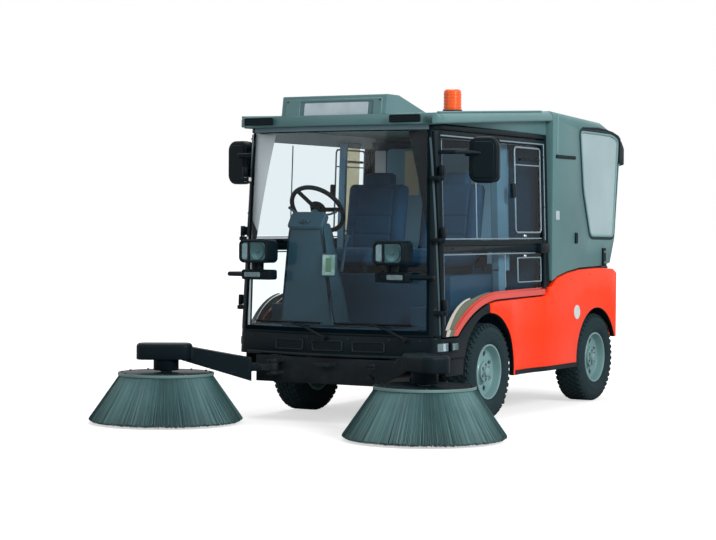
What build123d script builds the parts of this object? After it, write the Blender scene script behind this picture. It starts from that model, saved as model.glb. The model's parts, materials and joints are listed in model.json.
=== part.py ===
"""Compact street sweeper truck: glass cab, tipping hopper, two side brushes on swing arms.

Row frame: X across (+X is the vehicle's left), Y along it (-Y is forward), Z up from the road.
The origin is on the road, in the middle of the overall length and width. Millimetres.
"""
from build123d import *
import math
import os

os.makedirs("parts", exist_ok=True)

# ------------------------------------------------------------------ driving dimensions
BODY_HALF = 700            # half width over the lower body
FIT = 0.05                 # radial running clearance of a pin in its bore
PLAY = 1                   # gap between the cheeks of a hinge
SEAM = 8                   # gap between panels that move apart

# wheels
TYRE_R = 295
TYRE_W = 195
TYRE_SIDES = 64            # flats round a tyre's tread
SHOULDER_IN = 24           # shoulder between sidewall and tread: its width and height
SHOULDER_H = 42
RIM_R = 174
FRONT_AXLE_Y = -237
WHEELBASE = 1620
STUB_R = 20
HUB_R = 62
ARCH_R = 355
REAR_ARCH_R = 335
KINGPIN_IN = 132.5         # kingpin inwards of the wheel's centre
KINGPIN_R = 14

# cab
CAB_LOW_Z = 525            # underside of glass and door
CAB_HIGH_Z = 1765          # underside of the roof
CAB_IN = 10                # cab's foot inside the body's width
CAB_LEAN = 38              # lean of each side, foot to roof
NOSE_LOW_Y = -1000         # windscreen's middle, at its foot
NOSE_HIGH_Y = -935
CHEEK_LOW_Y = -905         # where the front curve meets the cab's side
CHEEK_HIGH_Y = -860
CHEEK_R = 80
CHEEK_Y = -820             # front edge of the cheeks beside the front wheels
CAB_BACK_Y = 640
PILLAR_T = 45
GLASS_T = 6
SCREEN_EDGE_LOW = 58       # pillar beside the windscreen, at its foot and top
SCREEN_EDGE_HIGH = 46
SCREEN_FOOT_Z = 545
RAIL_H = 29                # roof rail over the doors
FLOOR_Z = 540
FLOOR_T = 40

# doors
DOOR_FRONT_Y = -858
DOOR_REAR_Y = 605
DOOR_T = 38
DOOR_RIM = 40              # width of the door's frame
BELT_Z = 1040
BELT_H = 40
DOOR_STEP_Z = 530          # door's foot at the front
DOOR_STEP_Y = -660
DOOR_CURVE_MID = (-440, 657)
DOOR_CURVE_END = (-80, 728)
DOOR_TAIL_Z = 740
PANEL_TOP_Z = 790          # orange panel's edge behind the door
HINGE_R = 14
HINGE_PIN_R = 6
HINGE_STAND_OFF = 20       # hinge axis outside the cab's side

# lower body
SKIRT_Z = 400
CHEEK_Z = 300              # foot of the black cheeks ahead of the front wheels
REAR_PANEL_TOP = 862
PLATE_HALF = 262
PLATE_H = 116
PLATE_Z = 780
PLATE_BED_T = 6            # raised bed for the number plate
LINER_T = 8
LINER_CLEAR = 45           # liner's reach inside the tyre
SILL_Z = 250
PANEL_T = 35
PANEL_CREST = [(734, 54), (892, 83), (1090, 103), (1428, 110), (1660, 100)]   # (Y, rise over PANEL_TOP_Z)
CREST_GAP = 12             # hopper's side over the orange panel
WAIST_IN = 24              # side panels draw in behind the front wheels
TAIL_Y = 1722
TAIL_FOOT_Z = 420
REAR_PANEL_T = 40

# roof
ROOF_EDGE_H = 62           # roof's thickness at its front edge
ROOF_RISE = 0.056          # rise per length, to the back
ROOF_NOSE_Y = -985
LIGHTBOX_HALF = 360
LIGHTBOX_TOP_Z = 1945
BEACON_XY = (250, 100)
BEACON_R = 55
BEACON_H = 150

# chassis
RAIL_X = 300
RAIL_W = 60
AXLE_HALF = 40
CHASSIS_RAIL_H = 100
CROSS_H = 35
FRONT_CROSS_Y = -950
FRONT_CROSS_W = 100
FRONT_CROSS_END = 160      # carrier's reach past the swing pivots
FRONT_CROSS_DROP = 95      # reach below the rails' underside
RAIL_END_Y = 1660

# brushes and their arms
BRUSH_R = 459
BRUSH_OUT = 170            # brush axis outside the body
BRUSH_TOP_Z = 283
BRUSH_DISC_R = 285
BRUSH_DISC_T = 17
BRUSH_CLEAR = 3            # bristle tips over the road
SWING_OUT = 40             # swing pivot outside the rail's middle
SWING_Y = -1060
SWING_PIN_R = 12
SWING_EAR_T = 20
SWING_BOSS_R = 32
SWING_BOSS_H = 50
LIFT_OUT = 95              # lift pivot's distance from the swing pivot
LIFT_PIN_R = 10
ARM_Z_HEAD = 425
ARM_Z_ROOT = 318
ARM_ROOT_W = 104
ARM_ROOT_H = 136
ARM_HEAD_W = 90
ARM_HEAD_H = 84
HEAD_LENGTH = 330
HEAD_W = 170
HEAD_H = 96
MOTOR_R = 75

# hopper
HOPPER_FRONT_Y = 648
HOPPER_FOOT_Z = 926
HOPPER_TOP_FRONT_Z = 1922
HOPPER_SHOULDER = (1450, 1884)   # where the top starts to fall to the rear
HOPPER_REAR_TOP = (1790, 1800)
HOPPER_REAR_KNEE = (1690, 1090)
HOPPER_REAR_FOOT = (1612, 926)
HOPPER_WALL = 30
HOPPER_DOOR_T = 28
HOPPER_EDGE_R = 40
DOOR_SEAT = 3              # gap between the rear door and the shell
HOOD_OUT = 62              # black hood over the rear door's upper edge
HOOD_Z = (1600, 1770)
REAR_LAMP_T = 18
DOOR_PIN_R = 9
DOOR_HINGE_R = 16
TIP_Y = 1600
TIP_Z = 880
TIP_DEG = 50
TIP_PIN_R = 16
TIP_BARREL_R = 30
EYE_OUT = 450              # cylinder eye's distance from the tip pivot
CYLINDER_X = 400
CYLINDER_FOOT = (1250, 350)
CYLINDER_PIN_R = 12
BARREL_R = 38
ROD_R = 20
ROD_START = 100            # rod's inner end, from the cylinder's foot

# ------------------------------------------------------------------ derived places
REAR_AXLE_Y = FRONT_AXLE_Y + WHEELBASE
AXLE_Z = TYRE_R
WIDE = 2 * BODY_HALF       # beyond the widest point, for cuts
WHEEL_X = BODY_HALF - TYRE_W / 2
KINGPIN_X = WHEEL_X - KINGPIN_IN
LINER_IN = WHEEL_X - TYRE_W / 2 - LINER_CLEAR
CAB_HALF_LOW = BODY_HALF - CAB_IN
CAB_HALF_HIGH = CAB_HALF_LOW - CAB_LEAN
SCREEN_HALF_LOW = CAB_HALF_LOW - SCREEN_EDGE_LOW
SCREEN_HALF_HIGH = CAB_HALF_HIGH - SCREEN_EDGE_HIGH
SWING_X = RAIL_X + SWING_OUT
FRONT_CROSS_HALF = SWING_X + FRONT_CROSS_END
BRUSH_X = BODY_HALF + BRUSH_OUT
REAR_END_Y = HOPPER_REAR_TOP[0] + HOOD_OUT + REAR_LAMP_T
RAIL_Z = AXLE_Z + AXLE_HALF
RAIL_TOP_Z = RAIL_Z + CHASSIS_RAIL_H
BRUSH_Y = BRUSH_R - REAR_END_Y     # brush tips as far ahead as the rear end is behind
DOOR_TOP_Z = CAB_HIGH_Z - RAIL_H - SEAM + 2
SIDES = (("left", 1), ("right", -1))


# ------------------------------------------------------------------ helpers
def block(x0, x1, y0, y1, z0, z1):
    """Box between two corners."""
    size = (x1 - x0, y1 - y0, z1 - z0)
    return Pos((x0 + x1) / 2, (y0 + y1) / 2, (z0 + z1) / 2) * Box(*size)


def tube_z(x, y, r, z0, z1):
    """Upright cylinder."""
    return Pos(x, y, (z0 + z1) / 2) * Cylinder(r, z1 - z0)


def tube_x(y, z, r, x0, x1):
    """Cylinder along X."""
    return Pos((x0 + x1) / 2, y, z) * Rot(0, 90, 0) * Cylinder(r, abs(x1 - x0))


def rod_between(a, b, r):
    """Cylinder from point a to point b."""
    a, b = Vector(*a), Vector(*b)
    axis = b - a
    return Plane(origin=a, z_dir=axis) * Pos(0, 0, axis.length / 2) * Cylinder(r, axis.length)


def side_prism(face, x0, x1):
    """Extrudes a face drawn in (Y, Z) from x0 to x1."""
    return extrude(Plane.YZ.offset(x0) * face, x1 - x0)


def polygon(points):
    return make_face(Polyline(*points, close=True))


def flip(shape, side):
    """The shape for side +1, mirrored in X for side -1."""
    return shape if side > 0 else mirror(shape, Plane.YZ)


def save(node, shape):
    export_step(shape, f"parts/{node}.step")


# ------------------------------------------------------------------ cab envelope
def cab_outline(z, inset):
    """Plan of the cab at height z, moved inwards by inset."""
    t = (z - CAB_LOW_Z) / (CAB_HIGH_Z - CAB_LOW_Z)
    half = CAB_HALF_LOW + t * (CAB_HALF_HIGH - CAB_HALF_LOW) - inset
    nose = NOSE_LOW_Y + t * (NOSE_HIGH_Y - NOSE_LOW_Y) + inset
    cheek = CHEEK_LOW_Y + t * (CHEEK_HIGH_Y - CHEEK_LOW_Y) + inset
    edges = [
        ThreePointArc((-half, cheek), (0, nose), (half, cheek)),
        Line((half, cheek), (half, CAB_BACK_Y)),
        Line((half, CAB_BACK_Y), (-half, CAB_BACK_Y)),
        Line((-half, CAB_BACK_Y), (-half, cheek)),
    ]
    face = make_face(edges)
    front = face.vertices().sort_by(Axis.Y)[:2]
    return Pos(0, 0, z) * fillet(front, max(CHEEK_R - inset, 12))


def cab_solid(inset, z0=CAB_LOW_Z, z1=CAB_HIGH_Z):
    """The cab's outer form, leaning in to the roof, moved inwards by inset."""
    return loft([cab_outline(z0, inset).face(), cab_outline(z1, inset).face()], ruled=True)


def cab_skin(depth_out, depth_in, z0=CAB_LOW_Z, z1=CAB_HIGH_Z):
    """The cab's wall between two depths under its surface."""
    return cab_solid(depth_out, z0, z1) - cab_solid(depth_in, z0 - 1, z1 + 1)


def screen_prism(margin=0):
    """The windscreen's opening, seen from the front."""
    top = CAB_HIGH_Z - RAIL_H + margin
    foot = SCREEN_FOOT_Z - margin
    low, high = SCREEN_HALF_LOW + margin, SCREEN_HALF_HIGH + margin
    face = polygon([(-low, foot), (low, foot), (high, top), (-high, top)])
    return extrude(Plane.XZ.offset(-DOOR_FRONT_Y - 40) * face, 400)


# ------------------------------------------------------------------ doors
def door_profile():
    """Side view of a door: its foot follows the front wheel's arch."""
    mid_y, mid_z = DOOR_CURVE_MID
    end_y, end_z = DOOR_CURVE_END
    edges = [
        Line((DOOR_FRONT_Y, DOOR_STEP_Z), (DOOR_STEP_Y, DOOR_STEP_Z)),
        ThreePointArc((DOOR_STEP_Y, DOOR_STEP_Z), (mid_y, mid_z), (end_y, end_z)),
        Line((end_y, end_z), (DOOR_REAR_Y, DOOR_TAIL_Z)),
        Line((DOOR_REAR_Y, DOOR_TAIL_Z), (DOOR_REAR_Y, DOOR_TOP_Z)),
        Line((DOOR_REAR_Y, DOOR_TOP_Z), (DOOR_FRONT_Y, DOOR_TOP_Z)),
        Line((DOOR_FRONT_Y, DOOR_TOP_Z), (DOOR_FRONT_Y, DOOR_STEP_Z)),
    ]
    face = make_face(edges)
    corners = face.vertices()
    rear_foot = corners.sort_by(Axis.X)[-2:].sort_by(Axis.Y)[:1]
    return fillet(rear_foot, 70)


DOOR_FACE = door_profile()
DOOR_HOLE = offset(DOOR_FACE, SEAM, kind=Kind.INTERSECTION)
WINDOW_FACE = offset(DOOR_FACE, -DOOR_RIM, kind=Kind.INTERSECTION)
BELT_FACE = Pos(0, BELT_Z) * Rectangle(6000, BELT_H)
WINDOW_FACE = WINDOW_FACE - BELT_FACE


def hinge_line(z):
    """X of the door's hinge axis at height z: parallel to the cab's leaning side."""
    lean = (CAB_HALF_HIGH - CAB_HALF_LOW) / (CAB_HIGH_Z - CAB_LOW_Z)
    return CAB_HALF_LOW + (z - CAB_LOW_Z) * lean + HINGE_STAND_OFF


HINGE_HEIGHTS = (690, 1110, 1470)
HINGE_LEAF_Y = DOOR_FRONT_Y - 4
KNUCKLE_H = 60


def hinge_point(z):
    return (hinge_line(z), HINGE_LEAF_Y, z)


def build_doors():
    slab = cab_skin(0, DOOR_T)
    window = side_prism(WINDOW_FACE, 0, WIDE)
    frame = slab & side_prism(DOOR_FACE, 0, WIDE)
    frame = frame - window
    for z in HINGE_HEIGHTS:
        barrel = rod_between(hinge_point(z), hinge_point(z + KNUCKLE_H), HINGE_R)
        leaf = block(hinge_line(z) - 22, hinge_line(z), HINGE_LEAF_Y, DOOR_FRONT_Y + 46, z + 4, z + KNUCKLE_H - 4)
        frame += barrel + (leaf - cab_solid(1))
        frame -= rod_between(hinge_point(z - 5), hinge_point(z + KNUCKLE_H + 5), HINGE_PIN_R + FIT)
    handle_x = CAB_HALF_LOW - 6
    frame += block(handle_x - 16, handle_x + 26, DOOR_REAR_Y - 150, DOOR_REAR_Y - 24, BELT_Z - 32, BELT_Z + 30)
    glass = cab_skin(12, 12 + GLASS_T) & side_prism(WINDOW_FACE, 0, WIDE)
    for name, side in SIDES:
        save(f"door_frame_{name}", flip(frame, side))
        save(f"door_glass_{name}", flip(glass, side))
    return frame


# ------------------------------------------------------------------ mirrors (on the doors)
MIRROR_XY = (BODY_HALF + 150, -655)
MIRROR_Z = 1565
MIRROR_H = 270
MIRROR_W = 180
MIRROR_T = 55
MIRROR_ARM_R = 11
MIRROR_TURN = 14
MIRROR_ARM_Z = MIRROR_Z + 40


def build_mirrors():
    shell = fillet((Box(MIRROR_W, MIRROR_T, MIRROR_H)).edges().filter_by(Axis.Y), 60)
    shell = fillet(shell.faces().sort_by(Axis.Y)[0].edges(), 20)
    for name, side in SIDES:
        x, y = MIRROR_XY
        head = Pos(x, y, MIRROR_Z) * Rot(0, 0, MIRROR_TURN) * shell
        foot_x = hinge_line(MIRROR_ARM_Z) - HINGE_STAND_OFF
        foot = (foot_x - 12, DOOR_FRONT_Y + 22, MIRROR_ARM_Z)
        knee = (foot_x + 90, DOOR_FRONT_Y + 30, MIRROR_ARM_Z)
        wrist = (x, y - 8, MIRROR_ARM_Z)
        arm = rod_between(foot, knee, MIRROR_ARM_R) + rod_between(knee, wrist, MIRROR_ARM_R)
        arm += Pos(*knee) * Sphere(MIRROR_ARM_R)
        arm = arm - cab_solid(0)
        save(f"mirror_{name}", flip(head + arm, side))


# ------------------------------------------------------------------ cab
WHEELHOUSE_Y = ARCH_R + 30
WHEELHOUSE_TOP = 665
WHEELHOUSE_IN = KINGPIN_X - 125
BACK_WALL_HALF = CAB_HALF_LOW - 90
SEAT_BOX_HALF = BACK_WALL_HALF - 40
WHEELHOUSE_T = 25
TUB_INSET = 52             # clear of the doors and of the side panels' waist
SEAT_BOX_TOP = 880
BACK_WALL_T = 36


def build_cab():
    skin = cab_skin(0, PILLAR_T)
    openings = side_prism(DOOR_HOLE, -WIDE, WIDE)
    frame = skin & block(-WIDE, WIDE, -1200, CAB_BACK_Y, SCREEN_FOOT_Z - 14, CAB_HIGH_Z)
    frame = frame - screen_prism() - openings
    frame = frame - block(-WIDE, WIDE, DOOR_FRONT_Y - SEAM, CAB_BACK_Y + 1, 0, PANEL_TOP_Z + 1)
    inner_back = CAB_BACK_Y - PILLAR_T
    frame = frame - block(-WIDE, WIDE, inner_back - 1, inner_back + 2, SCREEN_FOOT_Z, CAB_HIGH_Z - RAIL_H)
    # the back wall is a panel of its own, between the rear pillars
    frame = frame - block(-BACK_WALL_HALF, BACK_WALL_HALF, inner_back, CAB_BACK_Y, 0, CAB_HIGH_Z - RAIL_H)
    for side in (1, -1):
        for z in HINGE_HEIGHTS:
            pin = rod_between(hinge_point(z - 30), hinge_point(z - 0.3), HINGE_R)
            pin += rod_between(hinge_point(z - 20), hinge_point(z + KNUCKLE_H - 8), HINGE_PIN_R)
            leaf = block(hinge_line(z) - 60, hinge_line(z), HINGE_LEAF_Y - 40, HINGE_LEAF_Y, z - 28, z - 4)
            frame += flip(pin + (leaf - cab_solid(1)), side)
    save("cab_frame", frame)
    save("windscreen", cab_skin(0, GLASS_T) & screen_prism())

    # floor tub with the wheel houses, seat box and back wall
    inside = cab_solid(TUB_INSET)
    floor = inside & block(-WIDE, WIDE, -1200, CAB_BACK_Y, FLOOR_Z - 10, FLOOR_Z - 10 + FLOOR_T)
    house_y0, house_y1 = FRONT_AXLE_Y - WHEELHOUSE_Y, FRONT_AXLE_Y + WHEELHOUSE_Y
    tub = floor
    for side in (1, -1):
        house = block(WHEELHOUSE_IN, WIDE, house_y0, house_y1, FLOOR_Z - 10, WHEELHOUSE_TOP + WHEELHOUSE_T)
        tub += flip(house & inside, side)
    tub += block(-SEAT_BOX_HALF, SEAT_BOX_HALF, house_y0 + 120, house_y1, FLOOR_Z, SEAT_BOX_TOP) & inside
    for side in (1, -1):
        hollow = block(WHEELHOUSE_IN + WHEELHOUSE_T, WIDE, house_y0 + WHEELHOUSE_T, house_y1 - WHEELHOUSE_T,
                       0, WHEELHOUSE_TOP)
        tub = tub - flip(hollow, side)
    wall = block(-BACK_WALL_HALF, BACK_WALL_HALF, inner_back, inner_back + BACK_WALL_T, FLOOR_Z - 10, CAB_HIGH_Z - RAIL_H)
    tub += wall
    save("cab_tub", tub)


# ------------------------------------------------------------------ roof, light box and beacon
def build_roof():
    h = ROOF_EDGE_H
    section = make_face(Polyline((-BODY_HALF, 0), (BODY_HALF, 0), (BODY_HALF, h), (-BODY_HALF, h), close=True))
    section = fillet(section.vertices().sort_by(Axis.Y)[-2:], 45)
    length = CAB_BACK_Y - ROOF_NOSE_Y
    face = Plane.XZ.offset(-ROOF_NOSE_Y) * Pos(0, CAB_HIGH_Z) * section
    roof = extrude(face, length * math.hypot(1, ROOF_RISE), dir=(0, 1, ROOF_RISE))
    filler = side_prism(polygon([
        (ROOF_NOSE_Y, CAB_HIGH_Z), (CAB_BACK_Y, CAB_HIGH_Z), (CAB_BACK_Y, CAB_HIGH_Z + length * ROOF_RISE),
    ]), -CAB_HALF_HIGH, CAB_HALF_HIGH)
    roof = roof + filler
    # plan: rounded visor corners
    cheek = ROOF_NOSE_Y + 80
    plan = make_face([
        ThreePointArc((-BODY_HALF, cheek), (0, ROOF_NOSE_Y), (BODY_HALF, cheek)),
        Line((BODY_HALF, cheek), (BODY_HALF, CAB_BACK_Y)),
        Line((BODY_HALF, CAB_BACK_Y), (-BODY_HALF, CAB_BACK_Y)),
        Line((-BODY_HALF, CAB_BACK_Y), (-BODY_HALF, cheek)),
    ])
    plan = fillet(plan.vertices().sort_by(Axis.Y)[:2], 70)
    roof = roof & extrude(Pos(0, 0, CAB_HIGH_Z) * plan, 400)
    # light box on the visor: a wedge that runs out into the roof
    nose = ROOF_NOSE_Y + 22
    box = side_prism(polygon([
        (nose, CAB_HIGH_Z + 5), (nose + 28, LIGHTBOX_TOP_Z), (nose + 170, LIGHTBOX_TOP_Z),
        (nose + 520, CAB_HIGH_Z + 90), (nose + 520, CAB_HIGH_Z + 5),
    ]), -LIGHTBOX_HALF, LIGHTBOX_HALF)
    save("roof_panel", roof + box)

    x, y = BEACON_XY
    seat = CAB_HIGH_Z + ROOF_EDGE_H + (y - ROOF_NOSE_Y) * ROOF_RISE
    base = tube_z(x, y, BEACON_R + 5, seat - 8, seat + 26) - roof
    lens = tube_z(x, y, BEACON_R, seat + 26, seat + BEACON_H)
    lens = fillet(lens.edges().sort_by(Axis.Z)[-1:], 18)
    save("beacon", base + lens)


# ------------------------------------------------------------------ lower body
def arch(y, r=ARCH_R):
    """Side view of a wheel arch."""
    return Pos(y, AXLE_Z) * Circle(r)


def build_body():
    # black skirt: the front, and the sides forward of the front axle
    ring = cab_skin(0, PANEL_T, SKIRT_Z, SCREEN_FOOT_Z - 14)
    side_view = polygon([
        (-1200, SKIRT_Z), (-1200, SCREEN_FOOT_Z - 14), (DOOR_FRONT_Y - 20, SCREEN_FOOT_Z - 14),
        (DOOR_FRONT_Y - 20, 900), (FRONT_AXLE_Y, 900), (FRONT_AXLE_Y, CHEEK_Z), (CHEEK_Y, CHEEK_Z),
        (CHEEK_Y, SKIRT_Z),
    ]) - DOOR_HOLE - arch(FRONT_AXLE_Y)
    skirt = ring & side_prism(side_view, -WIDE, WIDE)
    cheeks = side_prism(side_view & Pos((CHEEK_Y + FRONT_AXLE_Y) / 2, 600) * Rectangle(FRONT_AXLE_Y - CHEEK_Y, 800),
                        BODY_HALF - PANEL_T, BODY_HALF - 8)
    skirt = skirt + cheeks + flip(cheeks, -1)
    save("front_skirt", skirt)

    # orange side panels
    top = [
        (FRONT_AXLE_Y, 600), (FRONT_AXLE_Y, PANEL_TOP_Z), (CAB_BACK_Y + 2, PANEL_TOP_Z),
        *[(y, PANEL_TOP_Z + rise) for y, rise in PANEL_CREST], (TAIL_Y, REAR_PANEL_TOP), (TAIL_Y, TAIL_FOOT_Z),
        (REAR_AXLE_Y, TAIL_FOOT_Z), (REAR_AXLE_Y, SILL_Z), (FRONT_AXLE_Y, SILL_Z),
    ]
    view = polygon(top) - DOOR_HOLE - arch(FRONT_AXLE_Y) - arch(REAR_AXLE_Y, REAR_ARCH_R)
    waist = BODY_HALF - WAIST_IN
    plan = make_face([
        Line((BODY_HALF - PANEL_T - 30, FRONT_AXLE_Y), (BODY_HALF - 4, FRONT_AXLE_Y)),
        Line((BODY_HALF - 4, FRONT_AXLE_Y), (BODY_HALF - 8, 60)),
        ThreePointArc((BODY_HALF - 8, 60), (waist, 250), (BODY_HALF, 560)),
        Line((BODY_HALF, 560), (BODY_HALF, TAIL_Y)),
        Line((BODY_HALF, TAIL_Y), (BODY_HALF - PANEL_T, TAIL_Y)),
        Line((BODY_HALF - PANEL_T, TAIL_Y), (BODY_HALF - PANEL_T, 560)),
        ThreePointArc((BODY_HALF - PANEL_T, 560), (waist - PANEL_T, 250), (BODY_HALF - PANEL_T - 8, 60)),
        Line((BODY_HALF - PANEL_T - 8, 60), (BODY_HALF - PANEL_T - 30, FRONT_AXLE_Y)),
    ])
    panel = side_prism(view, 0, WIDE) & extrude(plan, 1200)
    for name, side in SIDES:
        save(f"side_panel_{name}", flip(panel, side))

    half = BODY_HALF - PANEL_T
    rear = block(-half, half, TAIL_Y - REAR_PANEL_T, TAIL_Y, TAIL_FOOT_Z, REAR_PANEL_TOP)
    rear += block(-PLATE_HALF, PLATE_HALF, TAIL_Y - 1, TAIL_Y + PLATE_BED_T, PLATE_Z - PLATE_H / 2, PLATE_Z + PLATE_H / 2)
    save("rear_panel", rear)

    ring = Pos(REAR_AXLE_Y, AXLE_Z) * (Circle(REAR_ARCH_R + LINER_T) - Circle(REAR_ARCH_R))
    band = Pos(REAR_AXLE_Y - 30, AXLE_Z + 280) * Rectangle(2 * REAR_ARCH_R - 100, 400)
    liner = side_prism(ring & band, LINER_IN, half)
    save("rear_liners", Compound(children=[liner.solid(), flip(liner, -1).solid()]))


# ------------------------------------------------------------------ chassis, axles, engine, suction
def build_chassis():
    frame = None
    for side in (1, -1):
        rail = block(RAIL_X - RAIL_W / 2, RAIL_X + RAIL_W / 2, FRONT_CROSS_Y + 20, RAIL_END_Y, RAIL_Z, RAIL_TOP_Z)
        rail = flip(rail, side)
        frame = rail if frame is None else frame + rail
    for y in (-620, 200, 860, RAIL_END_Y - 40):
        frame += block(-RAIL_X, RAIL_X, y - 40, y + 40, RAIL_Z, RAIL_Z + CROSS_H)
    z0 = RAIL_Z - FRONT_CROSS_DROP
    frame += block(-FRONT_CROSS_HALF, FRONT_CROSS_HALF, FRONT_CROSS_Y - FRONT_CROSS_W / 2,
                   FRONT_CROSS_Y + FRONT_CROSS_W / 2, z0, RAIL_TOP_Z - 40)
    frame += swing_clevis() + flip(swing_clevis(), -1)
    # cab mounts
    for y in (-560, 80, 500):
        for side in (1, -1):
            frame += flip(block(RAIL_X - 30, RAIL_X + 30, y - 30, y + 30, RAIL_TOP_Z - 1, FLOOR_Z - 10), side)
    # sill outriggers that carry the side panels
    for y, reach in ((300, BODY_HALF - PANEL_T - WAIST_IN - 0.8), (820, BODY_HALF - PANEL_T)):
        for side in (1, -1):
            frame += flip(block(RAIL_X, reach, y - 25, y + 25, RAIL_Z, RAIL_Z + 60), side)
    # posts for the tipping pivot
    for side in (1, -1):
        post = block(RAIL_X - 28, RAIL_X + 28, TIP_Y - TIP_BARREL_R, TIP_Y + TIP_BARREL_R, RAIL_TOP_Z - 1, TIP_Z)
        post += tube_x(TIP_Y, TIP_Z, TIP_BARREL_R, RAIL_X - 28, RAIL_X + 28)
        post = post - tube_x(TIP_Y, TIP_Z, TIP_PIN_R + FIT, RAIL_X - 60, RAIL_X + 60)
        frame += flip(post, side)
    # rear cross plate that carries the rear panel
    frame += block(-half_rear(), half_rear(), RAIL_END_Y - 1, TAIL_Y - REAR_PANEL_T, TAIL_FOOT_Z, TAIL_FOOT_Z + 60)
    frame += block(-RAIL_X - 30, RAIL_X + 30, RAIL_END_Y - 20, RAIL_END_Y, RAIL_Z, TAIL_FOOT_Z + 60)
    # cylinder feet
    foot_y, foot_z = CYLINDER_FOOT
    for side in (1, -1):
        near = CYLINDER_X - BARREL_R - PLAY
        foot = block(RAIL_X, near, foot_y - 40, foot_y + 40, foot_z - 15, foot_z + 60)
        foot += tube_x(foot_y, foot_z, CYLINDER_PIN_R, near - 1, CYLINDER_X + BARREL_R + 8)
        frame += flip(foot, side)
    # towing eyes
    eye = block(-55, 55, FRONT_TOW_Y - 35, FRONT_CROSS_Y, TOW_Z, TOW_Z + TOW_T)
    hitch = block(-60, 60, RAIL_END_Y - 1, REAR_TOW_Y + 45, TOW_Z, TOW_Z + TOW_T)
    for plate, y in ((eye, FRONT_TOW_Y), (hitch, REAR_TOW_Y)):
        frame = frame + plate - tube_z(0, y, TOW_BORE_R, TOW_Z - 5, TOW_Z + TOW_T + 5)
    save("chassis_frame", frame)

    block_w = RAIL_X + 10
    save("engine_block", block(-block_w + 40, block_w - 40, 890, 1350, RAIL_TOP_Z + 0, 860)
         + block(-block_w, block_w, 920, 1320, RAIL_TOP_Z, RAIL_TOP_Z + 40))


TOW_Z = 345
TOW_T = 25
TOW_BORE_R = 16
FRONT_TOW_Y = FRONT_CROSS_Y - FRONT_CROSS_W / 2 - 40
REAR_TOW_Y = TAIL_Y + 30


def half_rear():
    return BODY_HALF - PANEL_T - 5


def swing_clevis():
    """Two ears on the front cross member, with the upright pin of a brush arm."""
    mid = swing_mid()
    ears = None
    for z in (mid - SWING_BOSS_H / 2 - SWING_EAR_T - 1, mid + SWING_BOSS_H / 2 + 1):
        ear = block(SWING_X - 34, SWING_X + 34, SWING_Y, FRONT_CROSS_Y - FRONT_CROSS_W / 2 + 1, z, z + SWING_EAR_T)
        ear += tube_z(SWING_X, SWING_Y, 34, z, z + SWING_EAR_T)
        ears = ear if ears is None else ears + ear
    return ears + tube_z(SWING_X, SWING_Y, SWING_PIN_R, mid - SWING_BOSS_H / 2 - 1 - SWING_EAR_T,
                         mid + SWING_BOSS_H / 2 + 1 + SWING_EAR_T)


def swing_mid():
    return RAIL_Z - 2


def build_axles():
    half = KINGPIN_X
    beam = block(-half + 60, half - 60, FRONT_AXLE_Y - 35, FRONT_AXLE_Y + 35, AXLE_Z - 32, RAIL_Z)
    for side in (1, -1):
        jaw = block(half - 62, half + 24, FRONT_AXLE_Y - 30, FRONT_AXLE_Y + 30, AXLE_Z - 74, AXLE_Z + 74)
        jaw = jaw - block(half - 34, half + 40, FRONT_AXLE_Y - 60, FRONT_AXLE_Y + 60, AXLE_Z - 47, AXLE_Z + 47)
        jaw += tube_z(half, FRONT_AXLE_Y, KINGPIN_R, AXLE_Z - 60, AXLE_Z + 60)
        beam += flip(jaw, side)
    beam += tube_x(FRONT_AXLE_Y + 75, AXLE_Z, 28, -170, 170) + block(-150, 150, FRONT_AXLE_Y + 30, FRONT_AXLE_Y + 60,
                                                                  AXLE_Z - 20, AXLE_Z + 20)
    save("front_axle", beam)

    rear = block(-WHEEL_X + 100, WHEEL_X - 100, REAR_AXLE_Y - 40, REAR_AXLE_Y + 40, AXLE_Z - AXLE_HALF, RAIL_Z)
    for side in (1, -1):
        rear += tube_x(REAR_AXLE_Y, AXLE_Z, STUB_R, side * (WHEEL_X - 110), side * (WHEEL_X + 50))
    save("rear_axle", rear)

    boss = tube_z(KINGPIN_X, FRONT_AXLE_Y, 28, AXLE_Z - 45, AXLE_Z + 45)
    stub = tube_x(FRONT_AXLE_Y, AXLE_Z, STUB_R, KINGPIN_X + 10, WHEEL_X + 50)
    lever = block(KINGPIN_X - 12, KINGPIN_X + 12, FRONT_AXLE_Y + 10, FRONT_AXLE_Y + 120, AXLE_Z - 40, AXLE_Z - 16)
    knuckle = boss + stub + lever - tube_z(KINGPIN_X, FRONT_AXLE_Y, KINGPIN_R + FIT, AXLE_Z - 80, AXLE_Z + 80)
    for name, side in SIDES:
        save(f"knuckle_{name}", flip(knuckle, side))


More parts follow.
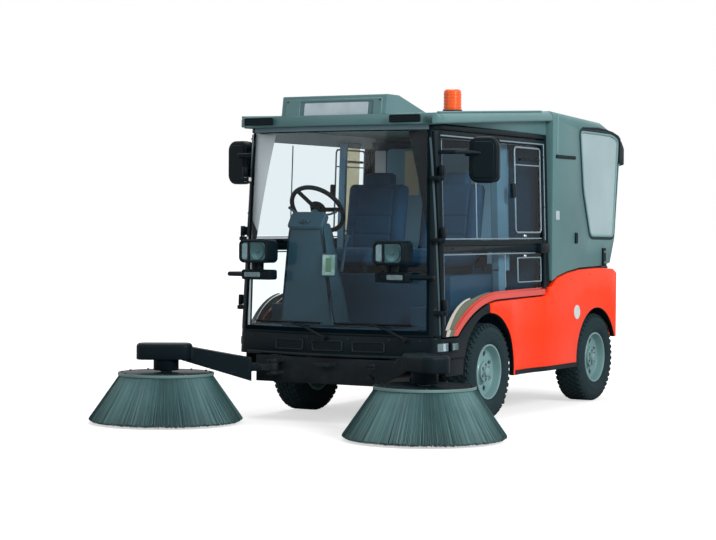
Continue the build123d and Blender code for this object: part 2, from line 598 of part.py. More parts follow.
def build_wheels():
    w = TYRE_W / 2
    shoulder = RegularPolygon(TYRE_R - SHOULDER_H, TYRE_SIDES)
    crown = RegularPolygon(TYRE_R, TYRE_SIDES)
    across = ((-w, shoulder), (-w + SHOULDER_IN, crown), (w - SHOULDER_IN, crown), (w, shoulder))
    rings = [[v.center() for v in (Plane.YZ.offset(x) * face).vertices()] for x, face in across]
    skins = [make_face(Polyline(*rings[0], close=True)), make_face(Polyline(*rings[-1], close=True))]
    for near, far in zip(rings, rings[1:]):
        for k in range(TYRE_SIDES):
            n = (k + 1) % TYRE_SIDES
            skins.append(make_face(Polyline(near[k], near[n], far[n], far[k], close=True)))
    tyre = Solid(Shell(skins)) - tube_x(0, 0, RIM_R - 6, -w - 1, w + 1)
    barrel_in = RIM_R - 20
    rim_section = polygon([
        (-w + 14, barrel_in), (-w + 14, RIM_R - 6 - 0.3), (w - 12, RIM_R - 6 - 0.3), (w - 12, barrel_in + 4),
        (34, barrel_in - 6), (26, HUB_R + 20), (44, HUB_R), (60, HUB_R), (60, STUB_R + FIT), (-6, STUB_R + FIT),
        (-6, HUB_R), (12, HUB_R + 16), (20, barrel_in - 2), (18, barrel_in),
    ])
    rim = revolve(rim_section, Axis.X)
    holes = None
    for k in range(8):
        a = math.radians(45 * k + 22.5)
        r = (HUB_R + barrel_in) / 2 + 6
        hole = tube_x(r * math.cos(a), r * math.sin(a), 17, 0, 60)
        holes = hole if holes is None else holes + hole
    rim = rim - holes
    for axle, y in (("front", FRONT_AXLE_Y), ("rear", REAR_AXLE_Y)):
        for name, side in SIDES:
            place = Pos(side * WHEEL_X, y, AXLE_Z)
            save(f"tyre_{axle}_{name}", place * tyre)
            save(f"rim_{axle}_{name}", place * flip(rim, side))


NOZZLE_Y = (300, 520)
NOZZLE_HALF = BODY_HALF - 270
NOZZLE_Z = (30, 200)
DUCT_HALF = 150
DUCT_Z = (RAIL_Z + CROSS_H, RAIL_Z + CROSS_H + 120)
DUCT_RISE_Y = (680, 840)


def build_suction():
    y0, y1 = NOZZLE_Y
    z0, z1 = NOZZLE_Z
    mouth = block(-NOZZLE_HALF, NOZZLE_HALF, y0, y1, z0, z1)
    mouth = mouth - block(-NOZZLE_HALF + 20, NOZZLE_HALF - 20, y0 + 20, y1 - 20, z0 - 5, z1 - 20)
    riser = block(-DUCT_HALF, DUCT_HALF, y0 + 60, y1 - 60, z1 - 1, DUCT_Z[1])
    run = block(-DUCT_HALF, DUCT_HALF, y0 + 60, DUCT_RISE_Y[1], DUCT_Z[0], DUCT_Z[1])
    rise = block(-DUCT_HALF, DUCT_HALF, DUCT_RISE_Y[0], DUCT_RISE_Y[1], DUCT_Z[0], HOPPER_FOOT_Z - 5)
    save("suction_duct", mouth + riser + run + rise)


# ------------------------------------------------------------------ cab interior
SEAT_X = 270
SEAT_W = 450
WHEEL_HUB = (-262, -690, 1275)
WHEEL_RING_R = 170
WHEEL_TILT = 50            # the ring's plane, up from level
HUB_DEPTH = 20


def build_interior():
    parts = []
    for x in (-SEAT_X, SEAT_X):
        base = block(x - SEAT_W / 2 + 50, x + SEAT_W / 2 - 50, -380, 20, SEAT_BOX_TOP, 930)
        cushion = block(x - SEAT_W / 2, x + SEAT_W / 2, -430, 60, 930, 1030)
        back = Pos(x, 60, 1210) * Rot(-9, 0, 0) * Box(SEAT_W, 100, 500)
        rest = Pos(x, 105, 1460) * Rot(-9, 0, 0) * Box(230, 75, 120)
        parts.append((base + cushion + back + rest).solid())
    save("seats", Compound(children=parts))

    low = Pos(-230, -760, FLOOR_Z + FLOOR_T - 10) * Rectangle(380, 210)
    high = Pos(-262, -775, 1190) * Rectangle(230, 110)
    console = loft([low.face(), high.face()], ruled=True)
    hub = Vector(*WHEEL_HUB)
    console += rod_between(tuple(hub - wheel_normal() * 175), tuple(hub - wheel_normal() * (HUB_DEPTH + 0.3)), 26)
    save("console", console)

    ring = Torus(WHEEL_RING_R, 14) + Pos(0, 0, -HUB_DEPTH / 2 + 4) * Cylinder(38, HUB_DEPTH + 8)
    for a in (90, 210, 330):
        spoke = Rot(0, 0, a) * Pos(WHEEL_RING_R / 2, 0, -4) * Box(WHEEL_RING_R, 26, 10)
        ring += spoke
    place = Plane(origin=hub, z_dir=wheel_normal())
    save("steering_wheel", place * ring)


def wheel_normal():
    a = math.radians(WHEEL_TILT)
    return Vector(0, math.sin(a), math.cos(a))


# ------------------------------------------------------------------ lamps
LAMP_X = 460
LAMP_Y = -1040
LAMP_Z = 1020
CORNER_LAMP = (90, 52, 22)     # side lamp under the door's front: length, height, depth
CORNER_LAMP_AT = (-745, 474)   # its middle in (Y, Z)


def build_lamps():
    solids = []
    for side in (1, -1):
        head = Pos(LAMP_X, LAMP_Y, LAMP_Z) * fillet(Box(205, 110, 140).edges().filter_by(Axis.Y), 32)
        foot = Pos(LAMP_X, LAMP_Y + 8, LAMP_Z - 140) * fillet(Box(210, 70, 60).edges().filter_by(Axis.Y), 14)
        stalk = block(LAMP_X - 22, LAMP_X + 22, LAMP_Y - 14, LAMP_Y + 26, LAMP_Z - 120, LAMP_Z - 60)
        bend = (CAB_HALF_LOW + 4, LAMP_Y + 40, LAMP_Z - 140)
        arm = rod_between((LAMP_X + 60, LAMP_Y + 12, LAMP_Z - 140), bend, 14) + Pos(*bend) * Sphere(14)
        arm += rod_between(bend, (CAB_HALF_LOW - 60, CHEEK_LOW_Y + 50, LAMP_Z - 140), 14)
        lamp = head + foot + stalk + (arm - cab_solid(0))
        solids.append(flip(lamp, side).solid())
    for side in (1, -1):
        tail = block(BODY_HALF - PANEL_T - 150, BODY_HALF - PANEL_T - 30, TAIL_Y, TAIL_Y + 26, 560, 740)
        solids.append(flip(tail, side).solid())
    length, height, depth = CORNER_LAMP
    y, z = CORNER_LAMP_AT
    face = BODY_HALF - 8
    for side in (1, -1):
        corner = Pos(face + depth / 2, y, z) * fillet(Box(depth, length, height).edges().filter_by(Axis.X), 8)
        corner = corner - cab_solid(0, z - height, z + height)
        solids.append(flip(corner, side).solid())
    save("lamps", Compound(children=solids))


# ------------------------------------------------------------------ brush arms and brushes
def arm_heading():
    """Length and direction, from the swing pivot to the brush's axis."""
    dx, dy = BRUSH_X - SWING_X, BRUSH_Y - SWING_Y
    return math.hypot(dx, dy), math.degrees(math.atan2(dy, dx))


def build_arms():
    reach, heading = arm_heading()
    mid = swing_mid()
    place = Pos(SWING_X, SWING_Y, 0) * Rot(0, 0, heading)
    root = Pos(0, 0, mid) * Cylinder(SWING_BOSS_R, SWING_BOSS_H)
    root += block(10, LIFT_OUT, -25, 25, mid - 20, mid + 20)
    root += Pos(LIFT_OUT, 0, mid) * Rot(90, 0, 0) * Cylinder(22, 60)
    root -= Pos(0, 0, mid) * Cylinder(SWING_PIN_R + FIT, 200)
    root -= Pos(LIFT_OUT, 0, mid) * Rot(90, 0, 0) * Cylinder(LIFT_PIN_R + FIT, 200)

    ears = None
    for v in (-45, 33):
        ear = Pos(LIFT_OUT, v + 6, mid) * Rot(90, 0, 0) * Cylinder(24, 12)
        ear += block(LIFT_OUT, LIFT_OUT + 50, v, v + 12, mid - 24, mid + 24)
        ears = ear if ears is None else ears + ear
    pin = Pos(LIFT_OUT, 0, mid) * Rot(90, 0, 0) * Cylinder(LIFT_PIN_R, 80)
    near_at = Plane(origin=(LIFT_OUT + 34, 0, ARM_Z_ROOT), z_dir=(1, 0, 0), x_dir=(0, 1, 0))
    far_at = Plane(origin=(reach - 60, 0, ARM_Z_HEAD), z_dir=(1, 0, 0), x_dir=(0, 1, 0))
    near = near_at * Rectangle(ARM_ROOT_W, ARM_ROOT_H)
    far = far_at * Rectangle(ARM_HEAD_W, ARM_HEAD_H)
    beam = loft([near.face(), far.face()], ruled=True)
    head = Pos(reach + 10, 0, ARM_Z_HEAD) * fillet(Box(HEAD_LENGTH, HEAD_W, HEAD_H).edges().filter_by(Axis.Z), 60)
    head = fillet(head.edges().sort_by(Axis.Z)[-8:], 20)
    motor = Pos(reach, 0, 0) * tube_z(0, 0, MOTOR_R, BRUSH_TOP_Z + BRUSH_DISC_T + 12, ARM_Z_HEAD)
    shaft = Pos(reach, 0, 0) * tube_z(0, 0, 16, BRUSH_TOP_Z + 4, ARM_Z_HEAD)
    arm = ears + pin + beam + head + motor + shaft
    for name, side in SIDES:
        save(f"arm_root_{name}", flip(place * root, side))
        save(f"brush_arm_{name}", flip(place * arm, side))

    disc = tube_z(0, 0, BRUSH_DISC_R, BRUSH_TOP_Z, BRUSH_TOP_Z + BRUSH_DISC_T)
    disc += tube_z(0, 0, 34, BRUSH_TOP_Z, BRUSH_TOP_Z + BRUSH_DISC_T + 7)
    disc -= tube_z(0, 0, 16 + FIT, BRUSH_TOP_Z - 20, BRUSH_TOP_Z + 60)
    bristles = revolve(Plane.XZ * polygon([
        (BRUSH_DISC_R - 90, BRUSH_TOP_Z), (BRUSH_DISC_R - 8, BRUSH_TOP_Z), (BRUSH_R, BRUSH_CLEAR + 14),
        (BRUSH_R - 6, BRUSH_CLEAR), (BRUSH_R - 130, BRUSH_CLEAR),
    ]), Axis.Z)
    for name, side in SIDES:
        at = Pos(side * BRUSH_X, BRUSH_Y, 0)
        save(f"brush_disc_{name}", at * disc)
        save(f"brush_bristles_{name}", at * bristles)


# ------------------------------------------------------------------ hopper
def hopper_rear_line():
    """The rear face in (Y, Z), from its foot over the knee to the top."""
    return [Vector(*HOPPER_REAR_FOOT), Vector(*HOPPER_REAR_KNEE), Vector(*HOPPER_REAR_TOP)]


def rear_offset(depth):
    """The rear face's three corners, moved forward by depth."""
    foot, knee, top = hopper_rear_line()
    return [(p.X - depth, p.Y) for p in (foot, knee, top)]


def hopper_profile(depth):
    """Side view of the hopper, its rear face moved forward by depth."""
    foot, knee, top = rear_offset(depth)
    return polygon([
        (HOPPER_FRONT_Y, HOPPER_FOOT_Z), foot, knee, top, HOPPER_SHOULDER, (HOPPER_FRONT_Y, HOPPER_TOP_FRONT_Z),
    ])


def hopper_cavity():
    """Side view of the load space, open to the rear."""
    wall = HOPPER_WALL
    foot, knee, top = rear_offset(-40)
    front = HOPPER_FRONT_Y + wall
    return polygon([
        (front, HOPPER_FOOT_Z + wall), (foot[0], HOPPER_FOOT_Z + wall), knee, (top[0], top[1] - wall - 16),
        (HOPPER_SHOULDER[0], HOPPER_SHOULDER[1] - wall), (front, HOPPER_TOP_FRONT_Z - wall),
    ])


SCREEN_POINTS = [(1070, 1817), (1128, 1421), (1252, 1109), (1652, 1104), (1724, 1781), (1600, 1812)]
SCREEN_DEPTH = 10
BRACKET = (1476, 912, 1032)    # tipping bracket's Y, foot and top
BRACKET_W = 46
BRACKET_T = 12
DOOR_SIDE = 6              # rear door's edge in from the hopper's side


def build_hopper():
    depth = HOPPER_DOOR_T + DOOR_SEAT
    outer = side_prism(hopper_profile(depth), -BODY_HALF, BODY_HALF)
    edges = [e for e in outer.edges() if abs(abs(e.center().X) - BODY_HALF) < 1 and e.center().Z > 1700]
    outer = fillet([e for e in edges if e.center().Y < 1650 and e.center().Z > 1800], HOPPER_EDGE_R)
    shell = outer - side_prism(hopper_cavity(), -BODY_HALF + HOPPER_WALL, BODY_HALF - HOPPER_WALL)
    screen = polygon(SCREEN_POINTS)
    screen = fillet(screen.vertices(), 22)
    for side in (1, -1):
        recess = side_prism(screen, BODY_HALF - SCREEN_DEPTH, BODY_HALF + 5)
        shell = shell - flip(recess, side)
    # the sides reach down to the orange panels' top edge
    foot_y = HOPPER_REAR_FOOT[0] - depth - 30
    apron = side_prism(polygon([
        (HOPPER_FRONT_Y, PANEL_TOP_Z + 3 * CREST_GAP),
        *[(y, PANEL_TOP_Z + rise + CREST_GAP) for y, rise in PANEL_CREST[:-1]], (foot_y, PANEL_TOP_Z + 118),
        (foot_y, HOPPER_FOOT_Z + 5), (HOPPER_FRONT_Y, HOPPER_FOOT_Z + 5),
    ]), BODY_HALF - HOPPER_WALL, BODY_HALF)
    shell = shell + apron + flip(apron, -1)
    # tipping brackets outside the sides
    y, z0, z1 = BRACKET
    bracket = block(BODY_HALF - 1, BODY_HALF + BRACKET_T, y - BRACKET_W / 2, y + BRACKET_W / 2, z0, z1)
    shell = shell + bracket + flip(bracket, -1)
    # intake port over the suction duct
    y0, y1 = DUCT_RISE_Y
    shell = shell - block(-DUCT_HALF + 12, DUCT_HALF - 12, y0 + 12, y1 - 12, HOPPER_FOOT_Z - 20, HOPPER_FOOT_Z + 80)
    for side in (1, -1):
        shell += flip(tip_lugs(), side)
        shell += flip(cylinder_ears(), side)
        shell += flip(door_hinge(0, 3), side)
    save("hopper_shell", shell)
    plates = side_prism(offset(screen, -3), BODY_HALF - SCREEN_DEPTH, BODY_HALF - 2)
    save("hopper_screens", Compound(children=[plates.solid(), flip(plates, -1).solid()]))
    build_hopper_door()


def tip_lugs():
    """Ears either side of a chassis post, with the tipping pin."""
    lug = tube_x(TIP_Y, TIP_Z, TIP_PIN_R, RAIL_X - 50, RAIL_X + 50)
    for x in (RAIL_X - 28 - 6 - 16, RAIL_X + 28 + 6):
        lug += tube_x(TIP_Y, TIP_Z, TIP_BARREL_R, x, x + 16)
        lug += block(x, x + 16, TIP_Y - TIP_BARREL_R, TIP_Y + 8, TIP_Z, HOPPER_FOOT_Z + 4)
    return lug


def cylinder_ears():
    """Plates either side of a rod's eye."""
    y, z = cylinder_eye()
    near = block(CYLINDER_X - ROD_R - 18, CYLINDER_X - ROD_R - 6, y - 40, y + 40, z - 26, HOPPER_FOOT_Z + 4)
    far = block(CYLINDER_X + ROD_R + 6, CYLINDER_X + ROD_R + 18, y - 40, y + 40, z - 26, HOPPER_FOOT_Z + 4)
    return near + far


def door_axis():
    """Y and Z of the rear door's hinge, over its upper edge."""
    y, z = HOPPER_REAR_TOP
    return y + 4, z + 12


HINGE_X = (420, 445, 475, 500)   # knuckle edges: door, shell, door


def door_hinge(first, last):
    """The shell's knuckle with its leaf and pin."""
    y, z = door_axis()
    inner, near, far, outer = HINGE_X
    knuckle = tube_x(y, z, DOOR_HINGE_R, near + PLAY, far - PLAY)
    knuckle += block(near + PLAY, far - PLAY, y - 130, y, z, z + DOOR_HINGE_R)
    knuckle += block(near + PLAY, far - PLAY, y - 130, y - 50, z - 30, z + 2)
    return knuckle + tube_x(y, z, DOOR_PIN_R, inner, outer)


def build_hopper_door():
    y, z = door_axis()
    lift = 4
    foot, knee, top = rear_offset(0)
    foot_in, knee_in, top_in = rear_offset(HOPPER_DOOR_T)
    view = polygon([
        (foot[0] + lift, foot[1] + lift), knee, (top[0], top[1] - lift),
        (top_in[0], top[1] - lift), knee_in, (foot_in[0] + lift, foot[1] + lift),
    ])
    half = BODY_HALF - DOOR_SIDE
    door = side_prism(view, -half, half)
    # black hood over the upper edge
    low, high = HOOD_Z
    hood = side_prism(polygon([
        (1740, low + 20), (1790, low), (HOPPER_REAR_TOP[0] + HOOD_OUT, low + 10),
        (HOPPER_REAR_TOP[0] + HOOD_OUT, high - 50), (HOPPER_REAR_TOP[0] + 16, high), (1765, high),
    ]), -half, half)
    door += hood
    for side in (1, -1):
        lamp = block(half - 150, half - 30, REAR_END_Y - REAR_LAMP_T - 5, REAR_END_Y, low + 30, high - 70)
        door += flip(lamp, side)
    inner, near, far, outer = HINGE_X
    for side in (1, -1):
        for x0, x1 in ((inner, near), (far, outer)):
            knuckle = tube_x(y, z, DOOR_HINGE_R, x0, x1)
            knuckle += block(x0, x1, y - 26, y + 6, z - 34, z)
            knuckle -= tube_x(y, z, DOOR_PIN_R + FIT, x0 - 5, x1 + 5)
            door += flip(knuckle, side)
    save("hopper_door", door)


def cylinder_eye(tip=0):
    """Y and Z of the rod's eye with the hopper tipped by so many degrees."""
    a = math.radians(tip)
    return TIP_Y - EYE_OUT * math.cos(a), TIP_Z + EYE_OUT * math.sin(a)


def cylinder_line(tip=0):
    """Length and unit direction from the cylinder's foot to the eye."""
    y, z = cylinder_eye(tip)
    dy, dz = y - CYLINDER_FOOT[0], z - CYLINDER_FOOT[1]
    length = math.hypot(dy, dz)
    return length, dy / length, dz / length


def build_cylinders():
    length, dy, dz = cylinder_line()
    stroke = cylinder_line(TIP_DEG)[0] - length
    fy, fz = CYLINDER_FOOT

    def at(x, s):
        return (x, fy + s * dy, fz + s * dz)

    barrels, rods = [], []
    for side in (1, -1):
        x = side * CYLINDER_X
        tube = rod_between(at(x, 60), at(x, length - 55), BARREL_R)
        tube -= rod_between(at(x, 72), at(x, length), ROD_R + FIT)
        foot = tube_x(fy, fz, CYLINDER_PIN_R + 16, x - BARREL_R, x + BARREL_R)
        neck = rod_between(at(x, 10), at(x, 66), BARREL_R - 14)
        barrel = tube + neck + foot - tube_x(fy, fz, CYLINDER_PIN_R + FIT, x - 90, x + 90)
        barrels.append(barrel.solid())
        rod = rod_between(at(x, ROD_START), at(x, length), ROD_R) + tube_x(*cylinder_eye(), 24, x - ROD_R, x + ROD_R)
        rods.append(rod.solid())
    assert length - 55 - (ROD_START + stroke) > 40
    save("tip_cylinders", Compound(children=barrels))
    save("tip_rods", Compound(children=rods))


build_doors()
build_mirrors()
build_cab()
build_roof()
build_body()
build_chassis()
build_axles()
build_wheels()
build_suction()
build_interior()
build_lamps()
build_arms()
build_hopper()
build_cylinders()
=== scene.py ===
"""Compact street sweeper truck: the looks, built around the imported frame.

Metres. +X is the vehicle's left, -Y forward, +Z up, and the road is at Z = 0.
"""
import json
import math

import bmesh
import bpy
from mathutils import Matrix, Vector
from mathutils.bvhtree import BVHTree

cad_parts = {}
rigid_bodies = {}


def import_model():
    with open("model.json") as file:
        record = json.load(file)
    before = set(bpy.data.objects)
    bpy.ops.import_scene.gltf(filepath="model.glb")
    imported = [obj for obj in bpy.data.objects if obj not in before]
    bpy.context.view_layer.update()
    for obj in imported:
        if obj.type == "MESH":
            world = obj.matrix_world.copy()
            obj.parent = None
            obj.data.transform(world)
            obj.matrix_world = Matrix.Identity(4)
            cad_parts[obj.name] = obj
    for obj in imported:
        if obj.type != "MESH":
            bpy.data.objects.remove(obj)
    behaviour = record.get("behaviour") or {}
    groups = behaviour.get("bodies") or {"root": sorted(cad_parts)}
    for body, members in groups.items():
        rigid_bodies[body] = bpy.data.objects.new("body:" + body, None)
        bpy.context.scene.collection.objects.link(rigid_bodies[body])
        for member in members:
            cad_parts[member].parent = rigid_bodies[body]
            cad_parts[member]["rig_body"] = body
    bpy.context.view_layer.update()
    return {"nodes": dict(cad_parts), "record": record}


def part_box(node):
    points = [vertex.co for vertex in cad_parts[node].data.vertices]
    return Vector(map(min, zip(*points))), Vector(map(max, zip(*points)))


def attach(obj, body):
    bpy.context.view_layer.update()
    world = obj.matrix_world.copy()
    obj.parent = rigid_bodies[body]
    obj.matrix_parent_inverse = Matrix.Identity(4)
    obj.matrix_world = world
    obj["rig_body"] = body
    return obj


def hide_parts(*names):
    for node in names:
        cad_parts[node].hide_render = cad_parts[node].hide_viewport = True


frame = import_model()
SIDES = (("left", 1), ("right", -1))


# ------------------------------------------------------------------ camera, light and floor
# The truck stands on a plain white studio floor under soft boxes, seen from low
# in front of its left side with a long lens.
CAMERA_AT = (5.927, -10.911, 1.186)
CAMERA_TURN, CAMERA_DIP, CAMERA_ROLL = math.radians(30), math.radians(1.3437), math.radians(0.358)
camera = bpy.data.objects.new("camera", bpy.data.cameras.new("camera"))
bpy.context.scene.collection.objects.link(camera)
bpy.context.scene.camera = camera
camera.data.sensor_width = 36
camera.data.lens = 98.53
camera.data.clip_end = 400
ahead = Vector((-math.sin(CAMERA_TURN) * math.cos(CAMERA_DIP), math.cos(CAMERA_TURN) * math.cos(CAMERA_DIP),
                -math.sin(CAMERA_DIP)))
level = Vector((math.cos(CAMERA_TURN), math.sin(CAMERA_TURN), 0))
above = level.cross(ahead)
camera_right = level * math.cos(CAMERA_ROLL) + above * math.sin(CAMERA_ROLL)
camera_up = above * math.cos(CAMERA_ROLL) - level * math.sin(CAMERA_ROLL)
camera_axes = Matrix((camera_right, camera_up, -ahead)).transposed().to_4x4()
camera.matrix_world = Matrix.Translation(CAMERA_AT) @ camera_axes
bpy.context.scene.view_settings.view_transform = "Standard"


def add(tree, kind, feeds=(), **settings):
    """Adds a node to a tree. feeds gives its inputs a value or another node's output."""
    node = tree.nodes.new(kind)
    for key, value in settings.items():
        setattr(node, key, value)
    for key, value in dict(feeds).items():
        if isinstance(value, bpy.types.NodeSocket):
            tree.links.new(value, node.inputs[key])
        else:
            node.inputs[key].default_value = value
    return node


def op(tree, kind, feeds=(), **settings):
    """Adds a node and returns its first output."""
    return add(tree, kind, feeds, **settings).outputs[0]


def blank_material(name):
    material = bpy.data.materials.new(name)
    material.use_nodes = True
    material.node_tree.nodes.clear()
    return material, material.node_tree


def white_for_eye(tree, dim):
    """1 where the eye, glass or gloss looks, and dim where the surface only gives light."""
    path = add(tree, "ShaderNodeLightPath").outputs
    seen = path["Is Camera Ray"]
    for ray in ("Is Glossy Ray", "Is Transmission Ray"):
        seen = op(tree, "ShaderNodeMath", {0: seen, 1: path[ray]}, operation="MAXIMUM")
    return op(tree, "ShaderNodeMapRange", {"Value": seen, "To Min": dim, "To Max": 1.0})


world = bpy.data.worlds.new("studio")
bpy.context.scene.world = world
world.use_nodes = True
studio = world.node_tree
studio.links.new(white_for_eye(studio, 0.46), studio.nodes["Background"].inputs["Strength"])
studio.nodes["Background"].inputs["Color"].default_value = (1, 1, 1, 1)


def soft_box(name, at, aim, size, watts):
    lamp = bpy.data.lights.new(name, "AREA")
    lamp.shape, lamp.size, lamp.energy = "DISK", size, watts
    box = bpy.data.objects.new(name, lamp)
    bpy.context.scene.collection.objects.link(box)
    turn = (Vector(aim) - Vector(at)).to_track_quat("-Z", "Y")
    box.matrix_world = Matrix.Translation(at) @ turn.to_matrix().to_4x4()


soft_box("key_light", (9.0, -3.5, 5.5), (0.3, 0.2, 0.8), 4.0, 900)
soft_box("front_light", (-3.5, -9.5, 5.0), (0, -0.6, 0.9), 5.0, 105)
soft_box("top_light", (-1.0, 1.5, 8.0), (0, 0.3, 1.0), 5.0, 370)

FLOOR_REACH = 150.0
floor_mesh = bpy.data.meshes.new("studio_floor")
floor_mesh.from_pydata([(x, y, 0) for x, y in ((-1, -1), (1, -1), (1, 1), (-1, 1))], [], [(0, 1, 2, 3)])
floor_mesh.transform(Matrix.Scale(FLOOR_REACH, 4))
floor = bpy.data.objects.new("studio_floor", floor_mesh)
bpy.context.scene.collection.objects.link(floor)
floor_paint, paint = blank_material("studio_white")
floor_matt = op(paint, "ShaderNodeBsdfDiffuse", {"Color": (0.55, 0.55, 0.55, 1)})
floor_path = add(paint, "ShaderNodeLightPath").outputs["Is Camera Ray"]
floor_place = add(paint, "ShaderNodeTexCoord").outputs["Object"]
away = add(paint, "ShaderNodeVectorMath", {0: floor_place}, operation="LENGTH").outputs["Value"]
far_glow = op(paint, "ShaderNodeMapRange",
              {"Value": away, "From Min": 2.2, "From Max": 7.0, "To Min": 0.6, "To Max": 1.0},
              interpolation_type="SMOOTHSTEP")
floor_glow = op(paint, "ShaderNodeMath", {0: floor_path, 1: far_glow}, operation="MULTIPLY")
floor_lamp = op(paint, "ShaderNodeEmission", {"Strength": floor_glow})
floor_sum = op(paint, "ShaderNodeAddShader", {0: floor_matt, 1: floor_lamp})
add(paint, "ShaderNodeOutputMaterial", {"Surface": floor_sum})
floor_mesh.materials.append(floor_paint)


# ------------------------------------------------------------------ chassis, axles, engine and suction mouth
# The ladder frame and axles are welded steel, painted satin black before assembly.
# The engine is bolted between the rails, and the suction mouth is folded sheet.
def shade(red, green, blue):
    """A colour as a paint chart gives it, 0 to 255, for a shader."""
    return tuple((c / 255 / 12.92) if c < 10.4 else ((c / 255 + 0.055) / 1.055) ** 2.4
                 for c in (red, green, blue)) + (1,)


def mix(tree, part, first, second):
    """Colour between first and second."""
    return add(tree, "ShaderNodeMix", {0: part, 6: first, 7: second}, data_type="RGBA").outputs[2]


def span(tree, value, low, high, to_low, to_high):
    return op(tree, "ShaderNodeMapRange",
              {"Value": value, "From Min": low, "From Max": high, "To Min": to_low, "To Max": to_high})


ROAD_DUST = shade(92, 102, 102)


def finish(name, colour, rough, second=None, cloud=2.2, grain=140.0, bump=0.06, spread=0.07, dust=0.0,
           dust_top=0.75, metallic=0.0, specular=0.5, **fixed):
    """A surface with slow colour clouds, a fine grain in its gloss and height, and road dust low down."""
    colour = shade(*colour)
    second = shade(*second) if second else tuple(c * 0.84 for c in colour[:3]) + (1,)
    material = bpy.data.materials.new(name)
    material.use_nodes = True
    tree = material.node_tree
    shader = tree.nodes["Principled BSDF"]
    place = add(tree, "ShaderNodeTexCoord").outputs["Object"]
    clouds = op(tree, "ShaderNodeTexNoise", {"Vector": place, "Scale": cloud, "Detail": 5.0})
    fine = op(tree, "ShaderNodeTexNoise", {"Vector": place, "Scale": grain, "Detail": 3.0})
    tone = mix(tree, span(tree, clouds, 0.35, 0.65, 0.0, 1.0), colour, second)
    gloss = span(tree, fine, 0.3, 0.7, rough - spread, rough + spread)
    if dust:
        height = add(tree, "ShaderNodeSeparateXYZ", {0: place}).outputs[2]
        low = span(tree, height, 0.05, dust_top, dust, 0.0)
        speck = op(tree, "ShaderNodeTexNoise", {"Vector": place, "Scale": 14.0, "Detail": 8.0})
        film = op(tree, "ShaderNodeMath", {0: low, 1: span(tree, speck, 0.35, 0.7, 0.2, 1.0)}, operation="MULTIPLY")
        tone = mix(tree, film, tone, ROAD_DUST)
        gloss = op(tree, "ShaderNodeMath", {0: gloss, 1: film}, operation="ADD", use_clamp=True)
    tree.links.new(tone, shader.inputs["Base Color"])
    tree.links.new(gloss, shader.inputs["Roughness"])
    if bump:
        height = op(tree, "ShaderNodeBump", {"Strength": bump, "Distance": 0.002, "Height": fine})
        tree.links.new(height, shader.inputs["Normal"])
    shader.inputs["Metallic"].default_value = metallic
    shader.inputs["Specular IOR Level"].default_value = specular
    for key, value in fixed.items():
        shader.inputs[key.replace("_", " ")].default_value = value
    return material


def coat(material, *nodes):
    """Gives CAD nodes their finish."""
    for node in nodes:
        mesh = frame["nodes"][node].data
        mesh.materials.clear()
        mesh.materials.append(material)


SLOTS = {  # the material slot named for each finish, where a piece names no other; show looks it up but gives it to no piece
    "plastic_black": ("satin_black", "skirt_black", "seal_black", "blade_rubber", "bead_grey"),
    "steel": ("zinc_plate", "black_bolt", "bright_channel", "lock_zinc", "mirror_silver", "lamp_chrome"),
    "cab_inner": ("dash_plastic", "lining_blue", "post_blue", "mat_rubber"),
    "hood_green": ("hood_green", "rim_green"),
    "body_orange": ("body_orange", "stripe_orange"),
    "glass": ("lamp_glass",),
    "beacon_amber": ("beacon_amber",),
    "seat_fabric": ("seat_cloth",),
    "rim_grey": ("rim_silver",),
    "tyre": ("tyre_rubber",),
    "bristle_green": ("tine_green",),
}


def show(name, form, material, body="truck_body", slot=None, replaces=(), sharp=35):
    """Turns a finished form into a piece that rides on a body. A slot is looked up from its finish where none is
    given, but the piece is given none.
    """
    if isinstance(form, bmesh.types.BMesh):
        mesh = bpy.data.meshes.new(name)
        form.to_mesh(mesh)
        form.free()
    else:
        mesh = form
    mesh.name = name
    if material and not mesh.materials:
        mesh.materials.append(material)
    mesh.shade_smooth()
    mesh.set_sharp_from_angle(angle=math.radians(sharp))
    piece = bpy.data.objects.new(name, mesh)
    bpy.context.scene.collection.objects.link(piece)
    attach(piece, body)
    if replaces:
        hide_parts(*replaces)
    if slot is None:
        finish_name = material.name.split(".")[0]
        slot = next((slot for slot, finishes in SLOTS.items() if finish_name in finishes), None)
    return piece


def made(name, material, *parts, **place_of):
    """A piece of several parts, each (what builds it, its sizes). place_of goes on to show."""
    form = bmesh.new()
    for build, *sizes in parts:
        build(form, *sizes)
    return show(name, form, material, **place_of)


def body_of(node):
    return frame["nodes"][node]["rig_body"]


def slot_of(node):
    return next(part["material_slot"] for part in frame["record"]["subparts"] if part["node"] == node)


def eased(node, width, material, steps=2, angle=32):
    """A CAD node's own shape with its hard edges rounded over, in its place."""
    form = bmesh.new()
    form.from_mesh(frame["nodes"][node].data)
    bmesh.ops.remove_doubles(form, verts=form.verts, dist=2e-5)
    hard = [e for e in form.edges if e.is_manifold and e.calc_face_angle(0) > math.radians(angle)]
    bmesh.ops.bevel(form, geom=hard, offset=width, segments=steps, affect="EDGES", profile=0.5, clamp_overlap=False)
    bmesh.ops.remove_doubles(form, verts=form.verts, dist=1e-5)
    bmesh.ops.triangulate(form, faces=[f for f in form.faces if len(f.verts) > 4])
    return show(f"{node}_eased", form, material, body_of(node), slot_of(node), [node], sharp=40)


